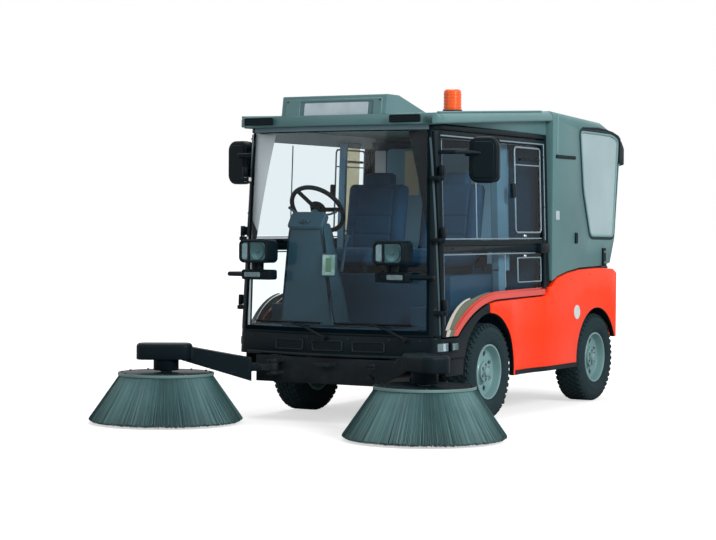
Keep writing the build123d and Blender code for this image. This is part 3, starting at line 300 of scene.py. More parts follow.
chassis_black = finish("chassis_black", (9, 19, 24), 0.5, dust=0.14, grain=60, specular=0.14)
cast_steel = finish("cast_steel", (40, 52, 56), 0.55, dust=0.3, metallic=0.4)
engine_grey = finish("engine_grey", (70, 82, 86), 0.5, dust=0.25, metallic=0.4)
for node in ("chassis_frame", "front_axle", "rear_axle"):
    eased(node, 0.002, chassis_black)
coat(cast_steel, "knuckle_left", "knuckle_right")
eased("engine_block", 0.012, engine_grey)
eased("suction_duct", 0.006, chassis_black)
for side, _ in SIDES:
    eased(f"arm_root_{side}", 0.002, chassis_black)
ram_chrome = finish("ram_chrome", (205, 208, 212), 0.16, metallic=1.0, bump=0.02, spread=0.03)
ram_black = finish("ram_black", (10, 20, 25), 0.35, specular=0.2)
coat(ram_black, "tip_cylinders")
coat(ram_chrome, "tip_rods")


# ------------------------------------------------------------------ body panels, hopper and roof
# The side panels, hopper and roof are glass-fibre mouldings sprayed in gloss paint:
# orange below, grey-green above, with satin black plastic between them.
body_orange = finish("body_orange", (252, 54, 8), 0.36, (246, 60, 14), bump=0.015, spread=0.04, dust=0.07,
                     dust_top=0.5, specular=0.12, Coat_Weight=0.05, Coat_Roughness=0.1)
hood_green = finish("hood_green", (86, 121, 123), 0.4, (79, 113, 116), bump=0.02, spread=0.05, specular=0.2,
                    Coat_Weight=0.05, Coat_Roughness=0.15)
satin_black = finish("satin_black", (7, 22, 28), 0.46, bump=0.04, specular=0.1)
screen_grey = finish("screen_grey", (157, 180, 184), 0.45, bump=0.05, specular=0.3)
cab_grey = finish("cab_grey", (20, 58, 80), 0.6, bump=0.03, grain=60, specular=0.2)
side_panels = {side: eased(f"side_panel_{side}", 0.006, body_orange) for side, _ in SIDES}
eased("rear_panel", 0.006, body_orange)
coat(satin_black, "rear_liners")
eased("front_skirt", 0.004, satin_black)
cab_shell = eased("cab_frame", 0.003, satin_black)
eased("roof_panel", 0.006, hood_green)
eased("hopper_shell", 0.006, hood_green)
hopper_door = eased("hopper_door", 0.005, hood_green)
coat(screen_grey, "hopper_screens")
eased("cab_tub", 0.006, cab_grey)


# ------------------------------------------------------------------ glass
# The windscreen and door panes are laminated glass, faintly blue, bonded and clamped
# in their black frames.
def clear_pane(name, tint, shine=0.45):
    """Glass that lets lamps through: clear, with a gloss that grows towards its edge-on view."""
    material, tree = blank_material(name)
    clear = op(tree, "ShaderNodeBsdfTransparent", {"Color": tint})
    place = add(tree, "ShaderNodeTexCoord").outputs["Object"]
    waves = op(tree, "ShaderNodeTexNoise", {"Vector": place, "Scale": 5.0, "Detail": 1.0})
    smear = span(tree, waves, 0.3, 0.7, 0.01, 0.05)
    gloss = op(tree, "ShaderNodeBsdfGlossy", {"Color": (1, 1, 1, 1), "Roughness": smear})
    back = add(tree, "ShaderNodeNewGeometry").outputs["Backfacing"]
    front = span(tree, back, 0.0, 1.0, shine, 0.0)
    rim = op(tree, "ShaderNodeMath", {0: op(tree, "ShaderNodeFresnel", {"IOR": 1.42}), 1: front}, operation="MULTIPLY")
    both = op(tree, "ShaderNodeMixShader", {0: rim, 1: clear, 2: gloss})
    add(tree, "ShaderNodeOutputMaterial", {"Surface": both})
    return material


cab_glass = clear_pane("cab_glass", (0.93, 0.965, 0.975, 1), shine=0.28)
coat(cab_glass, "door_glass_left", "door_glass_right")


# ------------------------------------------------------------------ windscreen border and wipers
# The windscreen is bonded to its pillars over a printed black border, and the cab
# frame's inner faces behind it are painted grey and white. Two pressed
# wiper arms with rubber blades park along its foot, on spindles in the black skirt.
def seat(origin, u, v):
    """A place to build on: u and v lie in its plane, and its third axis points out of it."""
    u, v = Vector(u).normalized(), Vector(v).normalized()
    return Matrix.Translation(origin) @ Matrix((u, v, u.cross(v))).transposed().to_4x4()


def inset(outline, by):
    """An outline drawn in by a distance, its corners kept."""
    moved = []
    for k, here in enumerate(outline):
        here = Vector(here)
        before = (here - Vector(outline[k - 1])).normalized()
        after = (Vector(outline[(k + 1) % len(outline)]) - here).normalized()
        square = Vector((-before.y, before.x))
        middle = (square + Vector((-after.y, after.x))).normalized()
        moved.append(here + middle * (by / max(middle.dot(square), 0.4)))
    return moved


def rounded(wide, high, corner, at=(0, 0), steps=5):
    """A rectangle with round corners, about a point."""
    points = []
    for k, (x, y) in enumerate(((1, -1), (1, 1), (-1, 1), (-1, -1))):
        for i in range(steps + 1):
            a = math.radians(90 * (k - 1) + 90 * i / steps)
            points.append((at[0] + x * (wide / 2 - corner) + corner * math.cos(a),
                           at[1] + y * (high / 2 - corner) + corner * math.sin(a)))
    return points


def softened(points, corner, steps=4):
    """A closed outline with each corner cut to a curve that starts a distance from it."""
    curve = []
    for k, here in enumerate(points):
        here, before, after = Vector(here), Vector(points[k - 1]), Vector(points[(k + 1) % len(points)])
        start = here + (before - here).normalized() * corner
        end = here + (after - here).normalized() * corner
        for i in range(steps + 1):
            t = i / steps
            curve.append(start * (1 - t) ** 2 + here * 2 * t * (1 - t) + end * t ** 2)
    return curve


def plate(form, outline, place, low, high, ease=0.0, hole=()):
    """A plate between two heights over a place, its face's edge eased. A hole has the outline's number of points."""
    stack = [(outline, low), (outline, high - ease)]
    if ease:
        stack.append((inset(outline, ease), high))
    if hole:
        stack += [(inset(hole, -ease), high)] * bool(ease) + [(hole, high - ease), (hole, low)]
    rings = [[form.verts.new(place @ Vector((p[0], p[1], height))) for p in path] for path, height in stack]
    if hole:
        rings.append(rings[0])
    else:
        form.faces.new(rings[-1])
        form.faces.new(rings[0][::-1])
    for one, two in zip(rings, rings[1:]):
        for k in range(len(one)):
            j = (k + 1) % len(one)
            form.faces.new((one[k], one[j], two[j], two[k]))


def rod(form, points, radius, sides=10):
    """A round bar along a run of points, closed at both ends."""
    points = [Vector(p) for p in points]
    side, rings = Vector((0, 0, 1)), []
    for k, here in enumerate(points):
        way = (points[min(k + 1, len(points) - 1)] - points[max(k - 1, 0)]).normalized()
        side = way.orthogonal() if abs(way.dot(side)) > 0.99 else side
        side = (side - way * side.dot(way)).normalized()
        other = way.cross(side)
        r = radius[k] if isinstance(radius, (list, tuple)) else radius
        rings.append([form.verts.new(here + (side * math.cos(a) + other * math.sin(a)) * r)
                      for a in (2 * math.pi * i / sides for i in range(sides))])
    for one, two in zip(rings, rings[1:]):
        for i in range(sides):
            j = (i + 1) % sides
            form.faces.new((one[i], one[j], two[j], two[i]))
    form.faces.new(rings[0][::-1])
    form.faces.new(rings[-1])


def lathe(form, profile, place, steps=64):
    """Turns a closed profile of (radius, height) about a place's third axis."""
    rings = []
    for k in range(steps):
        a = 2 * math.pi * k / steps
        rings.append([form.verts.new(place @ Vector((r * math.cos(a), r * math.sin(a), h))) for r, h in profile])
    for k, ring in enumerate(rings):
        after = rings[(k + 1) % steps]
        for i in range(len(profile)):
            j = (i + 1) % len(profile)
            form.faces.new((ring[i], after[i], after[j], ring[j]))
    bmesh.ops.remove_doubles(form, verts=form.verts, dist=1e-6)
    bmesh.ops.recalc_face_normals(form, faces=form.faces)


def tree_of(name, sizes):
    """An empty tree of Geometry Nodes with named inputs for its sizes."""
    group = bpy.data.node_groups.new(name, "GeometryNodeTree")
    group.interface.new_socket("Geometry", in_out="OUTPUT", socket_type="NodeSocketGeometry")
    kinds = {float: "NodeSocketFloat", int: "NodeSocketInt", bpy.types.Material: "NodeSocketMaterial",
             bpy.types.Object: "NodeSocketObject"}
    for label, value in sizes.items():
        kind = next(k for k in kinds if isinstance(value, k))
        group.interface.new_socket(label, in_out="INPUT", socket_type=kinds[kind])
    return group, group.nodes.new("NodeGroupInput").outputs


def grown(group, sizes):
    """The mesh that a tree makes with these sizes."""
    holder = bpy.data.objects.new(group.name, bpy.data.meshes.new(group.name))
    bpy.context.scene.collection.objects.link(holder)
    maker = holder.modifiers.new(group.name, "NODES")
    maker.node_group = group
    for item in group.interface.items_tree:
        if item.in_out == "INPUT" and item.name in sizes:
            maker[item.identifier] = sizes[item.name]
    mesh = bpy.data.meshes.new_from_object(holder.evaluated_get(bpy.context.evaluated_depsgraph_get()))
    bpy.data.objects.remove(holder)
    return mesh


def narrowed(group, block, by):
    """A tree's block with its upper face drawn in, so that its edges catch light."""
    spot = op(group, "GeometryNodeInputPosition")
    top = op(group, "FunctionNodeCompare", {0: add(group, "ShaderNodeSeparateXYZ", {0: spot}).outputs[2], 1: 0.0},
             data_type="FLOAT", operation="GREATER_THAN")
    slim = op(group, "ShaderNodeVectorMath", {0: spot, 1: by}, operation="MULTIPLY")
    return op(group, "GeometryNodeSetPosition", {"Geometry": block, "Selection": top, "Position": slim})


def completed(group, copies, material):
    """Ends a tree: its copies made real, in one material."""
    solid = op(group, "GeometryNodeRealizeInstances", {0: copies})
    add(group, "NodeGroupOutput", {0: op(group, "GeometryNodeSetMaterial", {"Geometry": solid, "Material": material})})


def nut_heads(name, spots, radius, height, sides, material, body="truck_body", slot=None):
    """Bolt or screw heads at spots, each (place, direction it faces), grown by one tree."""
    points = bpy.data.meshes.new(f"{name}_spots")
    points.from_pydata([tuple(p) for p, _ in spots], [], [])
    facing = points.attributes.new("facing", "FLOAT_VECTOR", "POINT")
    for k, (_, direction) in enumerate(spots):
        facing.data[k].vector = direction
    holder = bpy.data.objects.new(f"{name}_spots", points)
    sizes = {"Head radius": radius, "Head height": height, "Flats": sides, "Finish": material, "Spots": holder}
    group, into = tree_of(name, sizes)
    where = add(group, "GeometryNodeObjectInfo", {"Object": into["Spots"]}).outputs["Geometry"]
    head = op(group, "GeometryNodeMeshCylinder",
              {"Vertices": into["Flats"], "Radius": into["Head radius"], "Depth": into["Head height"]})
    head = narrowed(group, head, (0.86, 0.86, 1))
    way = op(group, "GeometryNodeInputNamedAttribute", {"Name": "facing"}, data_type="FLOAT_VECTOR")
    turn = op(group, "FunctionNodeAlignRotationToVector", {"Vector": way}, axis="Z")
    heads = op(group, "GeometryNodeInstanceOnPoints", {"Points": where, "Instance": head, "Rotation": turn})
    completed(group, heads, into["Finish"])
    mesh = grown(group, sizes)
    bpy.data.objects.remove(holder)
    return show(name, mesh, material, body, slot)


zinc = finish("zinc_plate", (160, 176, 178), 0.32, metallic=0.9, bump=0.04, dust=0.1)
black_bolt = finish("black_bolt", (18, 28, 32), 0.42, metallic=0.4)


CAB_FOOT_Z, CAB_FOOT_HALF, NOSE_FOOT_Y, CHEEK_FOOT_Y = 0.525, 0.690, -1.000, -0.905
NOSE_LEAN, CHEEK_LEAN, CAB_NARROWS = 0.0524, 0.0363, 0.0306


def nose_y(x, z):
    """How far forward the windscreen's face is."""
    up = z - CAB_FOOT_Z
    nose, cheek = NOSE_FOOT_Y + NOSE_LEAN * up, CHEEK_FOOT_Y + CHEEK_LEAN * up
    half, rise = CAB_FOOT_HALF - CAB_NARROWS * up, cheek - nose
    bow = (half * half + rise * rise) / (2 * rise)
    return nose + bow - math.sqrt(bow * bow - x * x)


def black_border(material):
    """Prints the black border on the windscreen, which fades inwards over a centimetre."""
    tree = material.node_tree
    place = add(tree, "ShaderNodeSeparateXYZ", {0: add(tree, "ShaderNodeTexCoord").outputs["Object"]}).outputs
    across = op(tree, "ShaderNodeMath", {0: place[0]}, operation="ABSOLUTE")
    edge = span(tree, place[2], 0.545, 1.736, 0.632, 0.606)
    side = op(tree, "ShaderNodeMath", {0: edge, 1: across}, operation="SUBTRACT")
    near = op(tree, "ShaderNodeMath",
              {0: span(tree, side, 0.012, 0.017, 1, 0), 1: span(tree, place[2], 0.566, 0.572, 1, 0)},
              operation="MAXIMUM")
    near = op(tree, "ShaderNodeMath", {0: near, 1: span(tree, place[2], 1.729, 1.733, 0, 1)}, operation="MAXIMUM")
    end = next(n for n in tree.nodes if n.type == "OUTPUT_MATERIAL")
    glass = end.inputs["Surface"].links[0].from_socket
    ink = op(tree, "ShaderNodeBsdfDiffuse", {"Color": shade(8, 20, 25)})
    printed = op(tree, "ShaderNodeMixShader", {0: near, 1: glass, 2: ink})
    tree.links.new(printed, end.inputs["Surface"])


screen_glass = clear_pane("screen_glass", (0.95, 0.97, 0.98, 1))
black_border(screen_glass)
coat(screen_glass, "windscreen")
lining_pale = finish("lining_pale", (222, 228, 230), 0.6, bump=0.03, specular=0.15)
header_grey = finish("header_grey", (112, 138, 148), 0.5, bump=0.03, specular=0.15)
HEADER_Z, HEADER_HALF, HEADER_Y = 1.70, 0.60, -0.8
cab_shell.data.materials.append(header_grey)
cab_shell.data.materials.append(lining_pale)
for face in cab_shell.data.polygons:
    x, y, z = face.center
    if z > HEADER_Z and face.normal.y < -0.6 and y < HEADER_Y and abs(x) < HEADER_HALF:
        face.material_index = 1
    elif x < 0 and face.normal.x > 0.35:
        face.material_index = 2
blade_rubber = finish("blade_rubber", (8, 16, 20), 0.6, bump=0.1, grain=300, specular=0.2)
wipers = bmesh.new()
for start, end, spindle in ((-0.53, -0.05, -0.02), (0.05, 0.53, 0.50)):
    steps = [start + (end - start) * k / 12 for k in range(13)]
    rod(wipers, [(x, nose_y(x, 0.600) - 0.010, 0.600) for x in steps], 0.0065, 6)
    rod(wipers, [(x, nose_y(x, 0.603) - 0.021, 0.603) for x in steps], 0.0045, 8)
    middle = (start + end) / 2
    rod(wipers,
        [(middle, nose_y(middle, 0.603) - 0.023, 0.603), ((middle + spindle) / 2, nose_y(middle, 0.57) - 0.036, 0.578),
         (spindle, nose_y(spindle, 0.525) - 0.026, 0.520)], (0.005, 0.007, 0.011), 8)
    rod(wipers, [(spindle, nose_y(spindle, 0.52) + 0.012, 0.518), (spindle, nose_y(spindle, 0.52) - 0.034, 0.518)],
        0.017, 16)
show("windscreen_wipers", wipers, blade_rubber, sharp=30)


# ------------------------------------------------------------------ lower front
# The black front moulding hides the brush carrier. It has three shallow air slots
# with slats, a step rib along its foot and screws at its edge.
def slats(name, count, pitch, size, place, material, body="truck_body", slot=None, axis=1):
    """A row of like bars, grown by one tree along a place's axis, from its middle."""
    sizes = {"Count": count, "Pitch": pitch, "Finish": material}
    group, into = tree_of(name, sizes)
    half = op(group, "ShaderNodeMath", {0: into["Count"], 1: 1.0}, operation="SUBTRACT")
    back = op(group, "ShaderNodeMath", {0: half, 1: -0.5}, operation="MULTIPLY")
    start = op(group, "ShaderNodeMath", {0: back, 1: into["Pitch"]}, operation="MULTIPLY")
    line = op(group, "GeometryNodeMeshLine",
              {"Count": into["Count"], "Start Location": op(group, "ShaderNodeCombineXYZ", {axis: start}),
               "Offset": op(group, "ShaderNodeCombineXYZ", {axis: into["Pitch"]})})
    bar = narrowed(group, op(group, "GeometryNodeMeshCube", {"Size": size}), (0.97, 0.6, 1))
    completed(group, op(group, "GeometryNodeInstanceOnPoints", {"Points": line, "Instance": bar}), into["Finish"])
    mesh = grown(group, sizes)
    mesh.transform(place)
    return show(name, mesh, material, body, slot)


skirt_black = finish("skirt_black", (16, 32, 38), 0.5, (10, 24, 29), bump=0.08, dust=0.12, dust_top=0.6, specular=0.18)
for k, x in enumerate((-0.27, 0.0, 0.27)):
    face = seat((x, nose_y(x, 0.47) - 0.001, 0.468), (1, (nose_y(x + 0.1, 0.47) - nose_y(x - 0.1, 0.47)) / 0.2, 0),
                (0, 0.05, 1))
    made(f"skirt_slot_{k}", skirt_black,
         (plate, rounded(0.21, 0.066, 0.014), face, -0.004, 0.0075, 0.003, rounded(0.19, 0.046, 0.009)),
         (plate, rounded(0.192, 0.048, 0.009), face, -0.004, 0.0014))
    slats(f"skirt_slats_{k}", 5, 0.009, (0.19, 0.005, 0.007), face @ Matrix.Translation((0, 0, 0.003)), satin_black)
made("skirt_foot_rib", skirt_black,
     (rod, [(x, nose_y(x, 0.40) - 0.002, 0.412) for x in (-0.60 + 0.06 * k for k in range(21))], 0.009, 10))
nut_heads("skirt_screws",
          [((x, nose_y(x, 0.51) - 0.001, 0.512), (0, -1, 0)) for x in (-0.56, -0.14, 0.14, 0.40, 0.585)], 0.008, 0.006,
          12, black_bolt)


# ------------------------------------------------------------------ door panes, trim and stripes
# Each door is a black tube frame round bonded panes, with a bright channel at the
# glass edge, a sliding window at the rear and three printed stripes along its foot.
CAB_SIDE, CAB_TILT, PANE_DEPTH = 0.690 + 0.0306452 * 0.525, 0.0306452, 0.012


def flank(x, hand, tilt=0.0):
    """A place on one side of the truck: first axis along it, second upwards, from X at the road's height."""
    return seat((x * hand, 0, 0), (0, hand, 0), (-tilt * hand, 0, 1))


def on_flank(outline, hand):
    """Points given as (Y, Z), in the order and sense that a side's place needs."""
    return [(y, z) for y, z in outline] if hand > 0 else [(-y, z) for y, z in reversed(outline)]


def patch(hand, place, size, *heights):
    """A rounded plate on a side, as a part of a piece."""
    return plate, on_flank(rounded(*size), hand), place, *heights


def arc_through(a, b, c, steps):
    """Points on the circle through three points, from the first to the last."""
    (ax, ay), (bx, by), (cx, cy) = a, b, c
    d = 2 * (ax * (by - cy) + bx * (cy - ay) + cx * (ay - by))
    ux = ((ax ** 2 + ay ** 2) * (by - cy) + (bx ** 2 + by ** 2) * (cy - ay) + (cx ** 2 + cy ** 2) * (ay - by)) / d
    uy = ((ax ** 2 + ay ** 2) * (cx - bx) + (bx ** 2 + by ** 2) * (ax - cx) + (cx ** 2 + cy ** 2) * (bx - ax)) / d
    start, end = math.atan2(ay - uy, ax - ux), math.atan2(cy - uy, cx - ux)
    r = math.hypot(ax - ux, ay - uy)
    return [(ux + r * math.cos(start + (end - start) * k / steps),
             uy + r * math.sin(start + (end - start) * k / steps)) for k in range(steps + 1)]


def beside(path, by):
    """An open run of points moved to its left."""
    moved = []
    for k, here in enumerate(path):
        way = (Vector(path[min(k + 1, len(path) - 1)]) - Vector(path[max(k - 1, 0)])).normalized()
        moved.append(Vector(here) + Vector((-way.y, way.x)) * by)
    return moved


def stripe(path, near, far, lowest, last):
    """A band beside a path, between two distances from it, above a height and up to a place along it."""
    low, high = beside(path, near), beside(path, far)
    kept = [k for k, point in enumerate(low) if point[1] > lowest and point[0] < last]
    return [low[k] for k in kept] + [high[k] for k in reversed(kept)]


door_foot = arc_through((-0.660, 0.530), (-0.440, 0.657), (-0.080, 0.728), 24)
door_foot += [(0.1 + 0.08 * k, 0.731 + 0.001 * k) for k in range(7)]
olive_top = arc_through((-0.741, 0.571), (-0.640, 0.672), (-0.470, 0.737), 14)
olive_top += arc_through((-0.455, 0.741), (-0.330, 0.765), (-0.200, 0.779), 8)
pale_top = arc_through((-0.796, 0.571), (-0.690, 0.672), (-0.470, 0.750), 18)
bright_channel = finish("bright_channel", (122, 144, 156), 0.38, metallic=0.35, bump=0.02)
lock_zinc = finish("lock_zinc", (190, 205, 210), 0.28, metallic=0.8, bump=0.02)
stripe_orange = finish("stripe_orange", (204, 78, 70), 0.4, (194, 72, 64), bump=0.02, specular=0.3)
stripe_olive = finish("stripe_olive", (92, 102, 84), 0.4, bump=0.02, specular=0.3)
stripe_pale = finish("stripe_pale", (186, 182, 172), 0.4, bump=0.02, specular=0.3)
DOOR_STRIPES = (  # name, finish, outlines on the pane, on its frame's edge and on the frame
    ("orange", stripe_orange,
     [(-0.6745, 0.5712)] + stripe(door_foot, 0.041, 0.0515, 0.571, 9) + [(-0.6925, 0.5712)],
     (stripe(door_foot, 0.0388, 0.0415, 0.560, 9),
      [(-0.697, 0.566), (-0.683, 0.561), (-0.6745, 0.5712), (-0.695, 0.5715)]),
     (stripe(door_foot, 0.005, 0.0385, 0.534, 9),
      [(-0.716, 0.534), (-0.663, 0.534), (-0.6422, 0.5497), (-0.6619, 0.5767), (-0.6831, 0.5608),
       (-0.688, 0.5665), (-0.695, 0.5665)])),
    ("olive", stripe_olive,
     [p for p in beside(door_foot, 0.054) if p[1] > 0.571 and p[0] < -0.20] + olive_top[::-1],
     ([(-0.744, 0.566), (-0.697, 0.566), (-0.695, 0.5715), (-0.742, 0.5715)],),
     ([(-0.766, 0.534), (-0.721, 0.534), (-0.698, 0.566), (-0.744, 0.566)],)),
    ("pale", stripe_pale,
     [p for p in beside(olive_top, 0.004) if p[0] < -0.47] + pale_top[::-1],
     ([(-0.797, 0.566), (-0.748, 0.566), (-0.746, 0.5715), (-0.795, 0.5715)],),
     ([(-0.814, 0.534), (-0.771, 0.534), (-0.749, 0.566), (-0.797, 0.566)],)),
)
PANE_RUNS = (  # bars along and across the panes: Y from and to, Z from and to
    (-0.368, -0.359, 1.106, 1.680), (-0.802, 0.560, 1.098, 1.106), (-0.802, 0.560, 1.006, 1.014),
    (-0.806, -0.799, 0.60, 1.006), (-0.806, -0.799, 1.106, 1.680), (0.015, 0.022, 0.80, 1.006),
    (0.185, 0.545, 1.560, 1.568))
FRAME_RUNS = ((-0.83, 0.585, 1.700, 1.708), (0.585, 0.595, 1.09, 1.708))
for side, hand in SIDES:
    frame_skin = eased(f"door_frame_{side}", 0.003, satin_black)
    frame_skin.data.materials.append(lining_pale)
    for face in frame_skin.data.polygons:
        if face.center.y < -0.84 and -0.612 < face.center.x < 0 and face.normal.y < 0.2:
            face.material_index = 1
    door = body_of(f"door_frame_{side}")
    pane = flank(CAB_SIDE - PANE_DEPTH, hand, CAB_TILT)
    channel = bmesh.new()
    skin_of = flank(CAB_SIDE, hand, CAB_TILT)
    for (wide, high, y, z), lip in (((0.385, 0.545, 0.3655, 1.4075), 0.011), ((0.35, 0.16, 0.365, 0.905), 0.008)):
        window = rounded(wide, high, 0.03 if lip > 0.01 else 0.012, (y, z))
        plate(channel, on_flank(window, hand), pane, -0.001, 0.006, 0.0015, on_flank(inset(window, lip), hand))
    for ground, runs in ((pane, PANE_RUNS), (skin_of, FRAME_RUNS)):
        for y0, y1, z0, z1 in runs:
            plate(channel, on_flank([(y0, z0), (y1, z0), (y1, z1), (y0, z1)], hand), ground, -0.001, 0.003, 0.001)
    show(f"door_channels_{side}", channel, bright_channel, body=door)
    made(f"window_catch_{side}", satin_black,
         patch(hand, pane, (0.28, 0.016, 0.005, (0.395, 1.600)), -0.001, 0.010, 0.003),
         patch(hand, pane, (0.040, 0.09, 0.010, (0.150, 1.40)), -0.001, 0.014, 0.004),
         patch(hand, pane, (1.38, 0.034, 0.004, (-0.126, 1.077)), -0.001, 0.008, 0.003), body=door)
    for label, paint_of, on_pane, on_edge, on_frame in DOOR_STRIPES:
        made(f"door_stripe_{label}_{side}", paint_of, (plate, on_flank(on_pane, hand), pane, -0.001, 0.001),
             *((plate, on_flank(outline, hand), skin_of, -0.001, 0.001) for outline in on_frame),
             *((plate, on_flank(outline, hand), skin_of, -0.0125, 0.001) for outline in on_edge), body=door)
    made(f"door_lock_{side}", lock_zinc,
         *(patch(hand, pane, (0.030, 0.017, 0.005, at), -0.001, 0.013, 0.003)
           for at in ((0.300, 1.118), (0.295, 0.992))),
         (lathe, [(0, -0.002), (0.013, -0.002), (0.013, 0.006), (0.010, 0.009), (0, 0.009)],
          skin_of @ Matrix.Translation((hand * 0.478, 1.040, 0.004)), 20), body=door)
    made(f"door_grip_{side}", satin_black,
         (plate, on_flank(rounded(0.126, 0.060, 0.012, (0.518, 1.039)), hand), skin_of, 0.0, 0.010, 0.004,
          on_flank(rounded(0.098, 0.034, 0.010, (0.518, 1.039)), hand)),
         patch(hand, skin_of, (0.086, 0.026, 0.008, (0.522, 1.040)), 0.0, 0.013, 0.004), body=door)
    nut_heads(f"door_screws_{side}",
              [((flank(CAB_SIDE, hand, CAB_TILT) @ Vector((hand * y, z, 0.001))), (hand, 0, 0))
               for y, z in ((-0.70, 1.045), (-0.30, 1.045), (0.10, 1.045), (0.585, 1.30), (0.585, 1.62), (0.585, 0.85),
                            (-0.838, 1.25), (-0.838, 0.80))], 0.0055, 0.004, 12, black_bolt, body=door)


# ------------------------------------------------------------------ mirrors
# Black moulded mirror heads on steel arms from the door hinges. The silvered glass
# sits in a rubber lip on the side that faces the driver.
mirror_silver = finish("mirror_silver", (200, 208, 212), 0.05, metallic=1.0, bump=0.0, spread=0.02)
for side, hand in SIDES:
    eased(f"mirror_{side}", 0.002, satin_black)
    angle = math.radians(14) * hand
    along = Vector((math.cos(angle), math.sin(angle), 0))
    centre = Vector((0.85 * hand, -0.655, 1.565))
    back = seat(centre, along, (0, 0, 1))
    face = seat(centre, -along, (0, 0, 1))
    made(f"mirror_lip_{side}", satin_black,
         (plate, rounded(0.176, 0.262, 0.035), face, 0.0265, 0.0315, 0.002, rounded(0.158, 0.244, 0.028)),
         (plate, rounded(0.13, 0.215, 0.03), back, 0.0265, 0.034, 0.004),
         (rod, [centre + Vector((-0.115 * hand, -0.010, 0.040)), centre + Vector((-0.085 * hand, -0.008, 0.040))],
          0.019, 14), body=body_of(f"mirror_{side}"))
    made(f"mirror_glass_{side}", mirror_silver, (plate, rounded(0.159, 0.245, 0.028), face, 0.0265, 0.0285, 0.0005),
         body=body_of(f"mirror_{side}"))


# ------------------------------------------------------------------ lamps
# Twin head lamps stand on stalks from the pillars: a black case with a chromed dish
# behind clear glass, over a small turn lamp. Tail and corner lamps are moulded lenses.
lamp_chrome = finish("lamp_chrome", (92, 122, 126), 0.34, metallic=0.7, bump=0.02, spread=0.03)
lamp_white = finish("lamp_white", (176, 192, 196), 0.25, (150, 170, 176), cloud=30, bump=0.05, specular=0.5)
lamp_grey = finish("lamp_grey", (112, 132, 138), 0.3, (92, 114, 120), cloud=40, bump=0.05, specular=0.3)
lamp_amber = finish("lamp_amber", (240, 120, 30), 0.22, cloud=30, bump=0.04)
lamp_red = finish("lamp_red", (186, 24, 22), 0.22, cloud=30, bump=0.04)
lamp_glass = clear_pane("lamp_glass", (0.85, 0.91, 0.92, 1), shine=1.0)
HEAD_LAMP_X = 0.46
FRONT = ((1, 0, 0), (0, 0, 1))
REAR = ((-1, 0, 0), (0, 0, 1))
for side, hand in SIDES:
    case = seat((HEAD_LAMP_X * hand, -1.095, 1.02), *FRONT)
    made(f"head_lamp_bezel_{side}", satin_black,
         (plate, rounded(0.199, 0.134, 0.030), case, -0.001, 0.013, 0.004, rounded(0.172, 0.107, 0.024)),
         (plate, rounded(0.009, 0.107, 0.003, (-0.032, 0)), case, -0.001, 0.009))
    made(f"head_lamp_dish_{side}", lamp_chrome, (plate, rounded(0.174, 0.109, 0.024), case, -0.001, 0.0012),
         (lathe,
          [(0, 0.001), (0.006, 0.001), (0.020, 0.0015), (0.036, 0.003), (0.047, 0.0075), (0.049, 0.0075),
           (0.049, 0.0005), (0, 0.0005)], case @ Matrix.Translation((0.028, 0, 0.001)), 40),
         (lathe, [(0, 0.001), (0.011, 0.001), (0.010, 0.006), (0.006, 0.009), (0, 0.010)],
          case @ Matrix.Translation((0.028, 0, 0)), 20))
    low = seat((HEAD_LAMP_X * hand, -1.067, 0.88), *FRONT)
    made(f"head_lamp_marker_{side}", lamp_white,
         (plate, rounded(0.040, 0.096, 0.014, (-0.061, 0)), case, 0.0, 0.008, 0.003))
    made(f"turn_lamp_{side}", lamp_grey,
         (plate, rounded(0.120, 0.030, 0.008, (0.034 * hand, 0)), low, -0.001, 0.006, 0.003))
    made(f"head_lamp_cover_{side}", lamp_glass, (plate, rounded(0.173, 0.108, 0.024), case, 0.0095, 0.0115, 0.0008))
    made(f"head_lamp_foot_{side}", satin_black,
         (plate, rounded(0.200, 0.054, 0.014), low, -0.001, 0.006, 0.002, rounded(0.160, 0.038, 0.014)),
         (rod, [(HEAD_LAMP_X * hand - 0.020, -1.050, 0.905), (HEAD_LAMP_X * hand - 0.020, -1.062, 0.955)], 0.012, 12))
    corner = flank(0.714, hand)
    made(f"corner_lamp_clear_{side}", lamp_grey,
         patch(hand, corner, (0.030, 0.040, 0.006, (-0.762, 0.474)), -0.001, 0.004, 0.002))
    made(f"corner_lamp_grey_{side}", lamp_chrome,
         patch(hand, corner, (0.038, 0.040, 0.006, (-0.725, 0.474)), -0.001, 0.003, 0.0015), slot="")
    tail = seat((0.575 * hand, 1.748, 0.65), *REAR)
    for label, paint_of, z, high in (("stop", lamp_red, 0.036, 0.088), ("turn", lamp_amber, -0.048, 0.064)):
        made(f"tail_lamp_{label}_{side}", paint_of,
             (plate, rounded(0.104, high, 0.010, (0, z)), tail, -0.001, 0.012, 0.004))
        slats(f"tail_lamp_{label}_flutes_{side}", 9, 0.011, (0.003, high - 0.014, 0.0016),
              tail @ Matrix.Translation((0, z, 0.0122)), paint_of, axis=0)
eased("lamps", 0.003, satin_black)
hood = hopper_door.data
hood.materials.append(lamp_amber)
hood.materials.append(satin_black)
for face in hood.polygons:
    x, y, z = face.center
    if y > 1.8535 and z < 1.72:
        face.material_index = 1
    elif y > 1.795 and z < 1.785:
        face.material_index = 2


